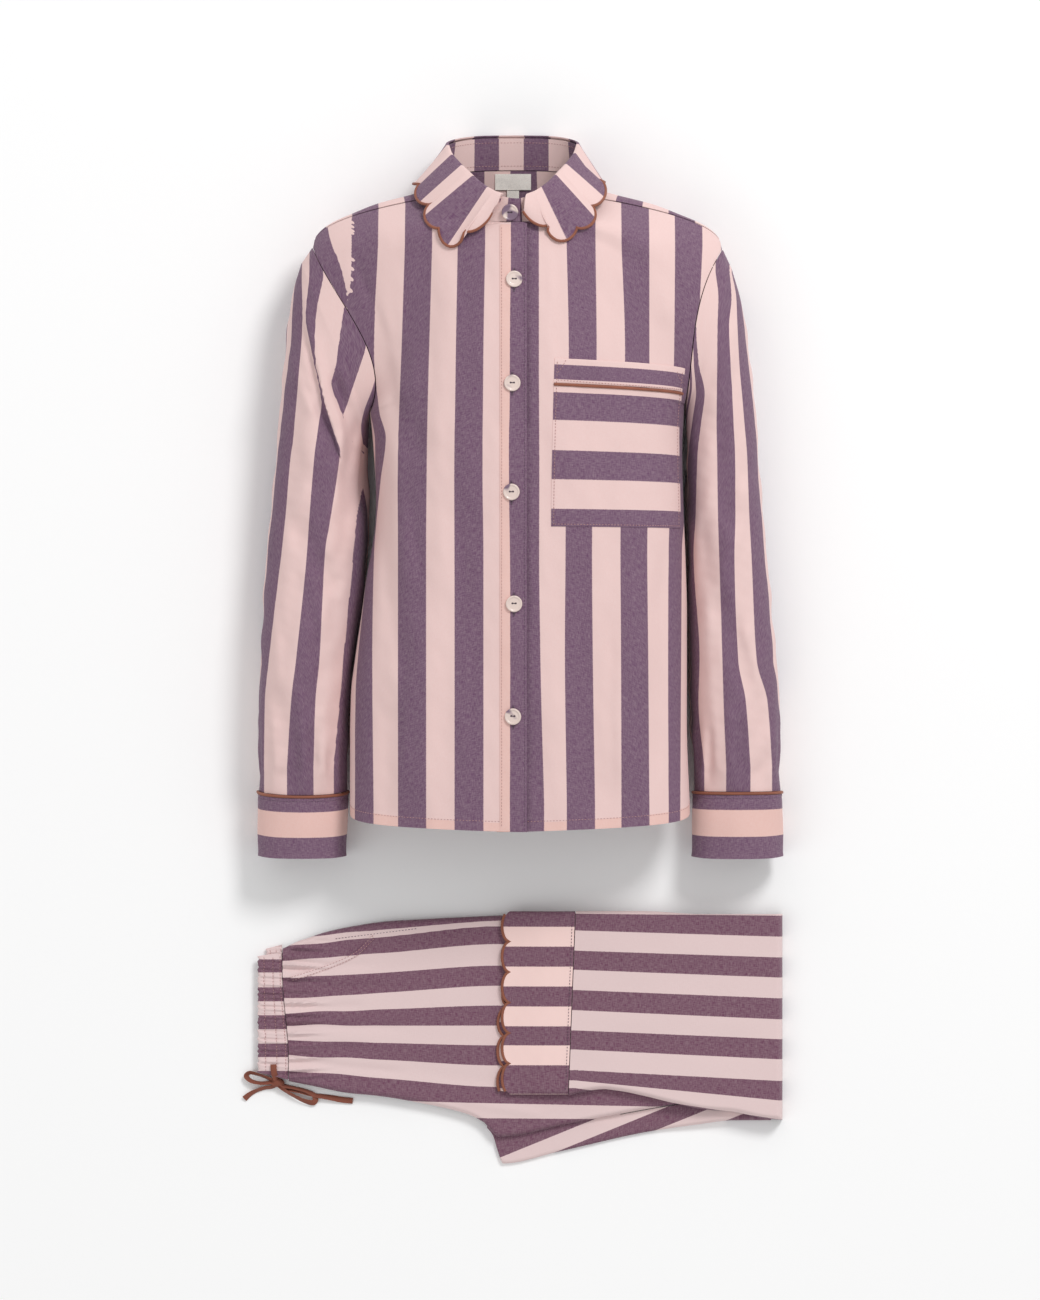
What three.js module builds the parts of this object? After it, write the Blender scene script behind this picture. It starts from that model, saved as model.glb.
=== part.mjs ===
// A pyjama set: a long-sleeved striped shirt with a scalloped collar, lying on its back in its
// filled-out form, and the matching trousers, folded flat, below its hem.
// Millimetres, +Z up. The surface that the set lies on is z = 0, +Y runs from the trousers to the
// collar, and the wearer's right side is at -X.
import * as THREE from "three";

// Driving sizes
const CLOTH = 1.6;
const THIN_CLOTH = 1.1;
const SEAM_GAP = 0.4;
const LAY_GAP = 0.4;
const PATCH_GAP = 0.8;
const SIDE_SEAM_HEIGHT = 60;
const FLAT_SHARE = 0.6;
const NECK_X = -4;
const RIGHT_FRONT_EDGE_X = 7;
const LEFT_FRONT_EDGE_X = -23;
const FRONT_LAP = 4.8;
const HEM_Y = { front: -181.5, back: -178 };
const YOKE_SEAM_Y = 385;
const BUTTON_RADIUS = 8.3;
const PIPING_RADIUS = 1.4;
const TAPE_WIDTH = 6;
const TAPE_THICK = 1.2;
const FOLD_X = 263.7;

const COLORS = {
  stripe: 0x7a5f73,
  pale: 0xe9c7c0,
  binding: 0x96573f,
  button: 0xe3c3bb,
  label: 0xede6da,
};

const mix = THREE.MathUtils.lerp;
const clamp = THREE.MathUtils.clamp;
const point = (x, y, z) => new THREE.Vector3(x, y, z);
const smooth = (t) => THREE.MathUtils.smoothstep(t, 0, 1);
const steps = (count) => Array.from({ length: count + 1 }, (_, i) => i / count);

// A table has named columns and a row for each station, and its first column rises.
function table(names, ...rows) {
  const columns = names.split(" ");
  return rows.map((row) => Object.fromEntries(columns.map((name, i) => [name, row[i]])));
}

// Reads every column of a table at one value of its first column, without overshoot.
function read(rows, at) {
  const [key, ...names] = Object.keys(rows[0]);
  let i = 0;
  while (i < rows.length - 2 && at > rows[i + 1][key]) i += 1;
  const span = rows[i + 1][key] - rows[i][key];
  const t = clamp((at - rows[i][key]) / span, 0, 1);
  const rise = (j, name) => (rows[j + 1][name] - rows[j][name]) / (rows[j + 1][key] - rows[j][key]);
  const slope = (j, name) => {
    if (j === 0) return rise(0, name);
    if (j === rows.length - 1) return rise(j - 1, name);
    const before = rise(j - 1, name);
    const after = rise(j, name);
    return before * after <= 0 ? 0 : (2 * before * after) / (before + after);
  };
  const value = (name) => {
    const a = rows[i][name];
    const b = rows[i + 1][name];
    const leave = slope(i, name) * span;
    const arrive = slope(i + 1, name) * span;
    return (
      a * (1 + 2 * t) * (1 - t) ** 2 +
      leave * t * (1 - t) ** 2 +
      b * t * t * (3 - 2 * t) -
      arrive * t * t * (1 - t)
    );
  };
  return Object.fromEntries(names.map((name) => [name, value(name)]));
}

// A closed solid between two grids of points, whose faces are turned to point out.
function between(outer, inner, closed = false) {
  const rows = outer.length;
  const columns = outer[0].length;
  const points = [...outer.flat(), ...inner.flat()];
  const inside = rows * columns;
  const at = (i, j) => i * columns + (j % columns);
  const faces = [];
  const quad = (a, b, c, d) => {
    if (points[a].distanceTo(points[c]) <= points[b].distanceTo(points[d])) faces.push(a, b, c, a, c, d);
    else faces.push(a, b, d, b, c, d);
  };
  const rim = (a, b) => quad(b, a, a + inside, b + inside);
  const around = closed ? columns : columns - 1;
  for (let i = 0; i < rows - 1; i += 1)
    for (let j = 0; j < around; j += 1) {
      quad(at(i, j), at(i + 1, j), at(i + 1, j + 1), at(i, j + 1));
      quad(inside + at(i, j), inside + at(i, j + 1), inside + at(i + 1, j + 1), inside + at(i + 1, j));
    }
  for (let j = 0; j < around; j += 1) {
    rim(at(0, j + 1), at(0, j));
    rim(at(rows - 1, j), at(rows - 1, j + 1));
  }
  for (let i = 0; i < rows - 1 && !closed; i += 1) {
    rim(at(i, 0), at(i + 1, 0));
    rim(at(i + 1, columns - 1), at(i, columns - 1));
  }
  return solid(points, faces);
}

// A geometry of indexed triangles, turned right side out by its volume.
function solid(points, faces) {
  const crossed = new THREE.Vector3();
  let volume = 0;
  for (let i = 0; i < faces.length; i += 3) {
    const [a, b, c] = [points[faces[i]], points[faces[i + 1]], points[faces[i + 2]]];
    volume += a.dot(crossed.crossVectors(b, c));
  }
  if (volume < 0)
    for (let i = 0; i < faces.length; i += 3) [faces[i], faces[i + 1]] = [faces[i + 1], faces[i]];
  const geometry = new THREE.BufferGeometry().setFromPoints(points);
  geometry.setIndex(faces);
  geometry.computeVertexNormals();
  return geometry;
}

// The unit normals of a grid, on the side that the sign chooses.
function normals(grid, closed, sign) {
  const columns = grid[0].length;
  return grid.map((row, i) =>
    row.map((p, j) => {
      const up = grid[Math.min(i + 1, grid.length - 1)][j].clone().sub(grid[Math.max(i - 1, 0)][j]);
      const next = closed ? (j + 1) % columns : Math.min(j + 1, columns - 1);
      const before = closed ? (j + columns - 1) % columns : Math.max(j - 1, 0);
      return up.cross(row[next].clone().sub(row[before])).normalize().multiplyScalar(sign);
    }),
  );
}

// A cloth wall: a grid of outer points, and the same points moved in by its thickness.
function wall(grid, thickness, sign, closed = false) {
  const out = normals(grid, closed, sign);
  const inner = grid.map((row, i) => row.map((p, j) => p.clone().addScaledVector(out[i][j], -thickness)));
  return between(grid, inner, closed);
}

// A round tube along an open path.
function tube(path, radius, sides, along) {
  const section = new THREE.Shape(
    steps(sides)
      .slice(0, -1)
      .map((t) => new THREE.Vector2(radius * Math.cos(2 * Math.PI * t), radius * Math.sin(2 * Math.PI * t))),
  );
  return new THREE.ExtrudeGeometry(section, {
    steps: along,
    extrudePath: new THREE.CatmullRomCurve3(path, false, "centripetal"),
  });
}

// Shirt

const SIDES = {
  right: {
    name: "right",
    sign: -1,
    armTop: point(-207, 402, 58),
    armUnder: point(-150, 237, 60),
    armRise: 42,
    armDrop: 46,
    scoopTop: 2,
    scoopLow: 34,
    scoopBack: 10,
    edgeX: RIGHT_FRONT_EDGE_X,
    lap: 0,
    neckWide: 1,
    hemSideY: -159,
    seam: table(
      "y x",
      [-160, -170],
      [-91, -170],
      [-44, -169],
      [-9, -165],
      [39, -158],
      [69, -154],
      [130, -144.5],
      [150, -144],
      [209, -147],
      [237, -150],
    ),
  },
  left: {
    name: "left",
    sign: 1,
    armTop: point(202, 400, 58),
    armUnder: point(164.5, 245, 60),
    armRise: 42,
    armDrop: 46,
    scoopTop: 16,
    scoopLow: 2,
    scoopBack: 8,
    edgeX: LEFT_FRONT_EDGE_X,
    lap: FRONT_LAP,
    neckWide: 0.9,
    hemSideY: -158,
    seam: table(
      "y x",
      [-160, 170],
      [-69, 166.8],
      [33, 167],
      [96, 165.4],
      [130, 164],
      [200, 162.3],
      [245, 164.5],
    ),
  },
};

// Height of the front's crest above the surface, from the hem to the front of the neck.
const CREST = table(
  "y z",
  [-182, 132],
  [-100, 138],
  [0, 145],
  [100, 151],
  [200, 156],
  [300, 157],
  [395, 149],
  [425, 141.5],
);

// Half of the neck, from the centre back (0) over the shoulder seam (5) to the centre front (9) and
// past it: the seam where the stand is sewn on, and the line where the collar turns over.
const NECK = table(
  "turn seamX seamY seamZ rollX rollY rollZ",
  [0, 0, 481, 8, 0, 514, 9],
  [1, 31, 480.5, 10.5, 31, 513.5, 11.5],
  [2, 58, 478, 22, 56, 510.5, 24],
  [3, 76, 474, 43, 68, 505, 45],
  [4, 82, 467, 63, 66, 496, 67],
  [5, 80, 452, 84, 58, 485, 87],
  [6, 70, 440, 105, 48, 474.5, 106],
  [7, 52, 431.5, 124, 34, 461.5, 126],
  [8, 26, 426, 137, 18.5, 452.5, 139],
  [9, 0, 425, 141.5, 0, 448.5, 146],
  [10, -20, 425, 141.5, -20, 448.5, 146],
);
const SHOULDER_TURN = 5;
const FRONT_NECK_Y = 425;
const NECK_SHARE = 0.48;

// Where each row of a front ends in the middle, below the neck. Rows 0 to 1 start on the armhole and
// rows 1 to 2 on the side seam.
const MIDDLE = table(
  "down y",
  [NECK_SHARE, 424.6],
  [0.6, 393],
  [0.8, 333],
  [1, 262],
  [1.2, 192],
  [1.5, 76],
  [2, -181],
);

// How a row of a front curves in y between its two ends.
const ROW_SHAPE = table(
  "down ease bend",
  [0, 1, 0.42],
  [0.15, 1.4, 0.75],
  [0.3, 2, 1],
  [1.9, 2, 1],
  [2, 1, 0.22],
);

// The largest folds of the fronts, as soft troughs (negative) and ridges between two points.
const FRONT_FOLDS = table(
  "x0 y0 x1 y1 width depth",
  [-150, 300, -95, 190, 15, -4],
  [-128, 205, -112, 60, 14, 3.5],
  [-140, 120, -118, -20, 12, -4],
  [-92, 30, -98, -165, 15, 3.5],
  [-62, 150, -52, -60, 17, -3],
  [-128, -60, -132, -170, 11, -3],
  [60, 90, 72, -165, 16, -3.5],
  [112, 60, 104, -120, 14, 3.5],
  [142, 90, 138, -120, 11, -4],
  [118, 410, 150, 330, 14, 3],
);

function foldHeight(folds, x, y) {
  return folds.reduce((sum, fold) => {
    const along = new THREE.Vector2(fold.x1 - fold.x0, fold.y1 - fold.y0);
    const from = new THREE.Vector2(x - fold.x0, y - fold.y0);
    const t = from.dot(along) / along.lengthSq();
    const away = Math.abs(from.cross(along)) / along.length();
    const fade = smooth(t * 4 + 0.5) * smooth((1 - t) * 4 + 0.5);
    return sum + fold.depth * fade * Math.exp(-((away / fold.width) ** 2));
  }, 0);
}

// A point of the armhole seam: turn 0 is the shoulder, 1 the underarm by the front, -1 by the back.
function armhole(side, turn) {
  const angle = Math.PI * turn;
  const sine = Math.sin(angle);
  const high = (1 + Math.cos(angle)) / 2;
  const front = side.scoopTop * high + side.scoopLow * (1 - high);
  const p = side.armUnder.clone().lerp(side.armTop, high);
  p.x -= side.sign * sine * sine * (sine >= 0 ? front : side.scoopBack);
  p.z += sine * (sine >= 0 ? side.armRise : side.armDrop);
  return p;
}

function sideEdge(side, down) {
  if (down <= 1) return armhole(side, down);
  const y = mix(side.armUnder.y, side.hemSideY, down - 1);
  return point(read(side.seam, y).x, y, SIDE_SEAM_HEIGHT);
}

// How far the neck lies lower at the front where this side goes under the other.
function neckDrop(side, turn) {
  return side.lap * smooth((turn - 7.2) / 1.6);
}

function neckSeam(side, turn) {
  const n = read(NECK, turn);
  return point(NECK_X + side.sign * side.neckWide * n.seamX, n.seamY, n.seamZ - neckDrop(side, turn));
}

function rollLine(side, turn) {
  const n = read(NECK, turn);
  return point(NECK_X + side.sign * side.neckWide * n.rollX, n.rollY, n.rollZ - neckDrop(side, turn));
}

function middleOf(side, down) {
  if (down >= NECK_SHARE) {
    const y = read(MIDDLE, down).y;
    return point(side.edgeX, y, read(CREST, y).z - side.lap);
  }
  const turn = mix(SHOULDER_TURN, 9, down / NECK_SHARE);
  if (turn <= 8) return neckSeam(side, turn);
  const corner = point(side.edgeX, FRONT_NECK_Y - side.lap / 3, read(CREST, FRONT_NECK_Y).z - side.lap);
  return neckSeam(side, 8).lerp(corner, turn - 8);
}

function frontAt(side, down, x) {
  const edge = sideEdge(side, down);
  const middle = middleOf(side, down);
  const round = smooth((down - 0.55) / 0.45);
  const crown = side.sign < 0 ? Math.min(middle.x, NECK_X) : Math.max(middle.x, NECK_X);
  const across = clamp((x - edge.x) / (crown - edge.x), 0, 1);
  const shape = read(ROW_SHAPE, down);
  const y = mix(edge.y, middle.y, (1 - (1 - across) ** shape.ease) ** shape.bend);
  const height = mix(edge.z, middle.z, (1 - (1 - across) ** 2) ** mix(1, 0.43, round));
  const free = smooth(across * 6) * smooth(down * 3);
  return point(x, y, height + free * foldHeight(FRONT_FOLDS, x, y));
}

const FRONT_ROWS = [
  ...[0, 0.12, 0.24, 0.36, 0.48, 0.6, 0.7, 0.8, 0.9, 1],
  ...[1.1, 1.22, 1.36, 1.5, 1.64, 1.78, 1.9, 1.96, 2],
];

function frontGrid(side) {
  return FRONT_ROWS.map((down) => {
    const edge = sideEdge(side, down);
    const middle = middleOf(side, down);
    const round = smooth((down - 0.55) / 0.45);
    return steps(13).map((t) => {
      const share = mix(t, 1 - Math.cos((t * Math.PI) / 2), round);
      return frontAt(side, down, mix(edge.x, middle.x, share));
    });
  });
}

// The front's surface over a place on the plan.
function frontOver(side, x, y) {
  let high = 0;
  let low = 2;
  for (let i = 0; i < 26; i += 1) {
    const down = (high + low) / 2;
    if (frontAt(side, down, x).y > y) high = down;
    else low = down;
  }
  return frontAt(side, low, x);
}

function onFront(side, x, y, lift) {
  const step = 1.5;
  const slopeX = (frontOver(side, x + step, y).z - frontOver(side, x - step, y).z) / (2 * step);
  const slopeY = (frontOver(side, x, y + step).z - frontOver(side, x, y - step).z) / (2 * step);
  const out = point(-slopeX, -slopeY, 1).normalize();
  const p = point(x, y, frontOver(side, x, y).z).addScaledVector(out, lift);
  return { p, out };
}

function frontPatch(side, rows, thickness) {
  const layer = (lift) => rows.map((row) => row.map(([x, y]) => onFront(side, x, y, lift).p));
  return between(layer(PATCH_GAP + thickness), layer(PATCH_GAP));
}

// A share from 0 in the middle to 1 at the edge gives the rise of the back, which is flat inside.
function backRise(share, round) {
  const e = clamp((Math.abs(share) - FLAT_SHARE) / (1 - FLAT_SHARE), 0, 1);
  return mix(e * e, 1 - Math.sqrt(1 - e * e), round);
}

const BACK_STATIONS = [0, 0.3, FLAT_SHARE, 0.68, 0.77, 0.86, 0.93, 0.98, 1];
const BACK_SHARES = [...BACK_STATIONS.slice(1).reverse().map((s) => -s), ...BACK_STATIONS];
const YOKE_TURN = { right: 0.203, left: 0.2 };

function backEdge(side, down) {
  if (down < 1) return armhole(side, -down);
  const underarm = 3 * SEAM_GAP * smooth(1 - 6 * (down - 1));
  return sideEdge(side, down).sub(point(0, 0, 3 * SEAM_GAP + underarm));
}

function backGrid() {
  const rows = [0, 0.15, 0.3, 0.45, 0.6, 0.8, 1, 1.15, 1.4, 1.65, 1.85, 1.95, 2];
  return rows.map((down) => {
    const edges = [SIDES.right, SIDES.left].map((side) => {
      const start = YOKE_TURN[side.name];
      return backEdge(side, down < 1 ? mix(start, 1, down) : down);
    });
    const round = smooth(down);
    const middleY = down <= 1 ? mix(YOKE_SEAM_Y - 2.5 * SEAM_GAP, 245, down) : mix(245, HEM_Y.back, down - 1);
    return BACK_SHARES.map((share) => {
      const edge = share < 0 ? edges[0] : edges[1];
      const x = mix(edges[0].x, edges[1].x, (1 + share) / 2);
      const y = mix(middleY, edge.y - (down ? 0 : 2.5 * SEAM_GAP), Math.abs(share) ** 3);
      return point(x, y, edge.z * backRise(share, round));
    });
  });
}

// The yoke's columns from a shoulder end (0) along the shoulder seam (1) round the neck to the
// centre back (2): how far it overshoots the seam, drops at it, and where it meets the floor.
const YOKE = table(
  "along reach dip heel bottomX",
  [0, 2, 9, -6, 198.5],
  [0.3, 9, 16, -14, 166],
  [0.54, 17, 19, -14, 142],
  [0.78, 19, 22, -13, 121],
  [1, 24, 25, -14, 101],
  [1.2, 2, 26, -22, 90],
  [1.4, -6, 20, -30, 77],
  [1.6, -14, 10, -35, 58],
  [1.8, -18, 4, -38, 31],
  [2, -18, 2.5, -38, 0],
);

function yokeTop(side, along) {
  if (along > 1) return neckSeam(side, mix(SHOULDER_TURN, 0, along - 1));
  const edge = sideEdge(side, 0);
  const seam = frontAt(side, 0, mix(edge.x, middleOf(side, 0).x, along));
  return seam.add(point(0, 3 * SEAM_GAP, 4 * SEAM_GAP * (along - 1)));
}

function yokeColumn(side, along, down) {
  const top = yokeTop(side, along);
  const shape = read(YOKE, along);
  const end = armhole(side, -YOKE_TURN[side.name]);
  const bottomX = NECK_X + side.sign * shape.bottomX;
  const x = along < 1 ? mix(end.x, bottomX, smooth(along * 3)) : bottomX;
  const bottom = point(x, YOKE_SEAM_Y, end.z * backRise(x / end.x, 0));
  const curve = new THREE.CubicBezierCurve3(
    top,
    point(mix(top.x, x, 0.3), top.y + shape.reach, Math.max(top.z - shape.dip, 0)),
    point(mix(top.x, x, 0.7), top.y + shape.heel, bottom.z + (along === 0 ? 5.6 : 0)),
    bottom,
  );
  return curve.getPoint(down);
}

function yokeGrid() {
  const stations = [0, 0.12, 0.3, 0.48, 0.66, 0.84, 1, 1.2, 1.4, 1.6, 1.8];
  const half = (side) => stations.map((along) => steps(7).map((down) => yokeColumn(side, along, down)));
  const middle = steps(7).map((down) => yokeColumn(SIDES.left, 2, down));
  return [...half(SIDES.right), middle, ...half(SIDES.left).reverse()];
}

// A sleeve's sections, from the armhole (0) to the cuff: its outer and inner edge on the plan, and
// the heights of its top and bottom.
const SLEEVES = {
  right: table(
    "row outX outY inX inY top bottom",
    [1, -219, 386, -150.8, 226, 99, 8],
    [2, -228, 354, -151, 209, 97, 3],
    [3, -235, 297, -152, 180, 94, 0],
    [4, -243, 214, -153.5, 141, 92, 0],
    [5, -248, 149, -155, 104, 90, 0],
    [6, -254, 91, -158, 64, 88, 0],
    [7, -258, 25, -165, 14, 86, 0],
    [8, -261, -51, -172, -51, 82, 0],
    [9, -262, -100, -173, -100, 76, 0],
    [10, -260, -140, -173, -140, 66, 1],
  ),
  left: table(
    "row outX outY inX inY top bottom",
    [1, 212, 381, 165.6, 233, 99, 8],
    [2, 222, 345, 167, 212, 97, 3],
    [3, 230, 292, 168, 184, 94, 0],
    [4, 237, 229, 169, 146, 92, 0],
    [5, 241, 163, 169.5, 106, 90, 0],
    [6, 246, 104, 170, 66, 88, 0],
    [7, 252, 42, 171, 21, 86, 0],
    [8, 258.5, -31, 172.5, -34, 82, 0],
    [9, 260.5, -92, 173.5, -92, 76, 0],
    [10, 259.5, -138, 174.5, -138, 66, 1],
  ),
};

// The largest folds of the sleeves, by place on the plan.
const SLEEVE_FOLDS = table(
  "x0 y0 x1 y1 width depth",
  [-196, 330, -176, 215, 12, -4],
  [-222, 300, -206, 180, 12, 4],
  [-176, 190, -200, 90, 11, 4],
  [-225, 130, -186, 60, 12, -4],
  [-196, 40, -240, -40, 12, 3.5],
  [-236, -50, -232, -130, 9, -4],
  [-196, -60, -200, -130, 9, 3.5],
  [214, 330, 196, 240, 11, 4],
  [192, 230, 214, 120, 12, -4],
  [226, 170, 200, 70, 11, 4],
  [200, 50, 232, -40, 12, -4],
  [208, -60, 206, -130, 9, 3.5],
  [238, -40, 236, -130, 9, -3.5],
);

// A closed section lying on the floor: a round top and a flattened bottom.
function section(outer, inner, top, bottom, angle) {
  const sine = Math.sin(angle);
  const middle = (top + bottom) / 2;
  const p = outer.clone().lerp(inner, (1 - Math.cos(angle)) / 2);
  const height = sine >= 0 ? (top - middle) * sine : -(middle - bottom + 1.5) * (-sine) ** 0.75;
  p.z = Math.max(middle + height, Math.min(bottom, 0.5 * bottom));
  return p;
}

// The line of the piping round a cuff, which dips on top of the left-hand one.
const CUFFS = {
  right: { y: -142, dip: 5, outX: -263, inX: -171.6, endOutX: -262, endInX: -174.4 },
  left: { y: -142.5, dip: 1, outX: 262.8, inX: 173, endOutX: 263.4, endInX: 172 },
};
const CUFF_TOP = 67;
const CUFF_END_Y = -212;

function cuffRing(cuff, share, shrink, angle) {
  const outX = mix(cuff.outX, cuff.endOutX, share);
  const inX = mix(cuff.inX, cuff.endInX, share);
  const toIn = Math.sign(inX - outX);
  const outer = point(outX + toIn * shrink, 0, 0);
  const inner = point(inX - toIn * shrink, 0, 0);
  const p = section(outer, inner, CUFF_TOP - 4 * share - shrink, shrink, angle);
  const seam = cuff.y - cuff.dip * Math.max(0, Math.sin(angle));
  p.y = mix(seam, CUFF_END_Y + 2.5 * Math.cos(angle) ** 4, share);
  return p;
}

function sleeveGrid(side) {
  const sections = SLEEVES[side.name];
  const turns = steps(18).slice(0, -1);
  const first = turns.map((turn) => {
    const p = armhole(side, turn < 0.5 ? 2 * turn : 2 * turn - 2);
    return p.add(point(side.sign * SEAM_GAP * 2.5, 0, 0));
  });
  const rows = [1, 2, 2.6, 3.2, 3.8, 4.4, 5, 5.6, 6.2, 6.8, 7.4, 8, 8.6, 9.2, 9.65];
  const body = rows.map((row) =>
    turns.map((turn) => {
      const s = read(sections, row);
      const angle = 2 * Math.PI * turn;
      const p = section(point(s.outX, s.outY, 0), point(s.inX, s.inY, 0), s.top, s.bottom, angle);
      const free = smooth(Math.sin(angle) * 2.5) * smooth((row - 1.2) / 1.5);
      p.z += free * foldHeight(SLEEVE_FOLDS, p.x, p.y);
      return p;
    }),
  );
  const end = turns.map((turn) => {
    const p = cuffRing(CUFFS[side.name], 0, 1.6, 2 * Math.PI * turn);
    return p.add(point(0, PIPING_RADIUS + SEAM_GAP, 0));
  });
  return [first, ...body, end];
}

function cuffWall(side) {
  const turns = steps(20).slice(0, -1);
  const rows = [PIPING_RADIUS + SEAM_GAP, 20, 45, 62, 66.5];
  const depth = CUFFS[side.name].y - CUFF_END_Y;
  const grid = rows.map((drop, i) => {
    const share = Math.min(1, drop / depth);
    return turns.map((turn) => {
      const p = cuffRing(CUFFS[side.name], share, 0, 2 * Math.PI * turn);
      if (i === 0) p.y -= 0.3;
      return p;
    });
  });
  return wall(grid, CLOTH, -side.sign, true);
}

// A thin ring of round cord that follows a closed line.
function ringCord(line, radius, sides) {
  const count = line.length;
  const grid = line.map((p, i) => {
    const ahead = line[(i + 1) % count].clone().sub(line[(i + count - 1) % count]).normalize();
    const across = ahead.clone().cross(point(0, 1, 0)).normalize();
    const up = across.clone().cross(ahead);
    return steps(sides)
      .slice(0, -1)
      .map((t) => {
        const angle = 2 * Math.PI * t;
        return p
          .clone()
          .addScaledVector(across, radius * Math.cos(angle))
          .addScaledVector(up, radius * Math.sin(angle));
      });
  });
  const points = grid.flat();
  const faces = [];
  for (let i = 0; i < count; i += 1)
    for (let j = 0; j < sides; j += 1) {
      const a = i * sides + j;
      const b = ((i + 1) % count) * sides + j;
      const c = ((i + 1) % count) * sides + ((j + 1) % sides);
      const d = i * sides + ((j + 1) % sides);
      faces.push(a, b, c, a, c, d);
    }
  return solid(points, faces);
}

function cuffPiping(side) {
  const line = steps(20)
    .slice(0, -1)
    .map((turn) => {
      const p = cuffRing(CUFFS[side.name], 0, 0.2, 2 * Math.PI * turn);
      p.z = Math.max(p.z, PIPING_RADIUS);
      return p;
    });
  return ringCord(line, PIPING_RADIUS, 6);
}

// Collar. A place round the neck runs from the right front end (negative) over the centre back (0)
// to the left front end.
const COLLAR_FOLD = 2.8;
const LEAF_LIFT = 4.3;

function roundNeck(place, line) {
  const side = place < 0 ? SIDES.right : SIDES.left;
  return line(side, Math.abs(place));
}

function standGrid() {
  const places = [
    ...[-9.2, -8.8, -8.4, -7.4, -6.5, -5.6, -4.8, -4, -3.2, -2.4, -1.4],
    ...[0, 1.4, 2.4, 3.2, 4, 4.8, 5.6, 6.5, 7.4, 8.4, 9.2, 9.9],
  ];
  return places.map((place) => {
    const seam = roundNeck(place, neckSeam);
    const roll = roundNeck(place, rollLine);
    return [0.025, 0.5, 0.99].map((t) => seam.clone().lerp(roll, t));
  });
}

// The points of the leaf's edge where two scallops meet, and the depth of the scallop that follows.
const LEAF_CUSPS = {
  right: table(
    "place x y z depth",
    [-8.5, -27, 450, 148, 10],
    [-7.9, -54, 419, 146, 16],
    [-7.1, -80, 422, 130, 11],
    [-6, -86.5, 445.5, 112.5, 11],
    [-4.4, -99, 466, 78, 7],
    [-3.1, -99, 468, 38, 7],
    [-2.2, -84, 459, 5, 7],
    [-1.5, -62, 456, 0, 7],
    [-0.8, -34, 455, 0, 5],
    [-0.1, -6, 455, 0, 5],
  ),
  left: table(
    "place x y z depth",
    [0.7, 22, 455, 0, 5],
    [1.5, 48, 456, 0, 5],
    [2.2, 68, 460, 5, 5],
    [3.2, 84, 469, 42, 7],
    [4.5, 79, 470, 78, 10],
    [6, 70, 443, 119.5, 11],
    [7.1, 55, 424, 131, 12],
    [7.9, 25.5, 427, 142, 9],
    [8.5, 2, 450, 150, 9],
  ),
};

function leafEdge() {
  const cusps = [...LEAF_CUSPS.right, ...LEAF_CUSPS.left];
  const edge = [];
  cusps.slice(0, -1).forEach((from, i) => {
    const to = cusps[i + 1];
    const last = i === cusps.length - 2;
    const chord = new THREE.Vector2(to.x - from.x, to.y - from.y);
    const out = new THREE.Vector2(chord.y, -chord.x).normalize();
    const shares = i === 0 ? [0.3, 0.5, 0.75] : last ? [0, 0.25, 0.5, 0.7] : [0, 0.22, 0.5, 0.78];
    shares.forEach((t) => {
      const bulge = from.depth * (4 * t * (1 - t)) ** 0.6;
      const front = from.z > 1 || to.z > 1 ? 1 : 0;
      edge.push({
        place: mix(from.place, to.place, t),
        x: mix(from.x, to.x, t) - out.x * bulge,
        y: mix(from.y, to.y, t) - out.y * bulge,
        z: mix(from.z, to.z, t) * front,
      });
    });
  });
  return edge;
}

function leafGrid() {
  const across = [0.22, 0.45, 0.72, 1];
  return leafEdge().map((end) => {
    const side = end.place < 0 ? SIDES.right : SIDES.left;
    const seam = roundNeck(end.place, neckSeam);
    const roll = roundNeck(end.place, rollLine);
    roll.z += side.lap * smooth((Math.abs(end.place) - 7.2) / 1.6);
    const up = roll.clone().sub(seam).normalize();
    const start = roll.clone().addScaledVector(up, COLLAR_FOLD);
    const tip = point(end.x, end.y, end.z);
    const out = tip.clone().sub(roll);
    out.addScaledVector(up, -out.dot(up)).normalize();
    const shoulder = roll.clone().addScaledVector(up, COLLAR_FOLD * 0.7).addScaledVector(out, 3);
    const row = across.map((t) => {
      const p = shoulder.clone().lerp(tip, t);
      p.z = mix(shoulder.z, tip.z, 1 - (1 - t) ** 1.7);
      const inFront = Math.abs(end.place) > 5 && p.y < 452 && Math.abs(p.x - NECK_X) > 24;
      const floor = inFront ? frontOver(side, p.x, p.y).z + LEAF_LIFT : 0;
      p.z = Math.max(p.z + 9 * t * (1 - t) * smooth(end.z / 40), floor);
      return p;
    });
    return [start, shoulder, ...row];
  });
}

function leafBinding() {
  const grid = leafGrid();
  const rims = grid.map((row) => row[row.length - 1]);
  const path = rims.map((p, i) => {
    const before = rims[Math.max(0, i - 1)];
    const after = rims[Math.min(rims.length - 1, i + 1)];
    const inward = grid[i][grid[i].length - 2].clone().sub(p).normalize();
    const ahead = after.clone().sub(before).normalize();
    inward.addScaledVector(ahead, -inward.dot(ahead)).normalize();
    const q = p.clone().addScaledVector(inward, -(PIPING_RADIUS + 5 * SEAM_GAP));
    q.z = Math.max(q.z, PIPING_RADIUS + 0.05);
    return q;
  });
  return tube(path, PIPING_RADIUS, 5, 72);
}

// Placket, pocket, buttons and labels

const PLACKET = { inX: -20, outX: 6.6 };

function placketPatch() {
  const side = SIDES.right;
  const rows = FRONT_ROWS.filter((down) => down >= NECK_SHARE).map((down) =>
    [PLACKET.inX, PLACKET.outX].map((x) => {
      const { y } = frontAt(side, down, x);
      return [x, clamp(y, HEM_Y.front + 1, 423)];
    }),
  );
  return frontPatch(side, rows, THIN_CLOTH);
}

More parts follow.
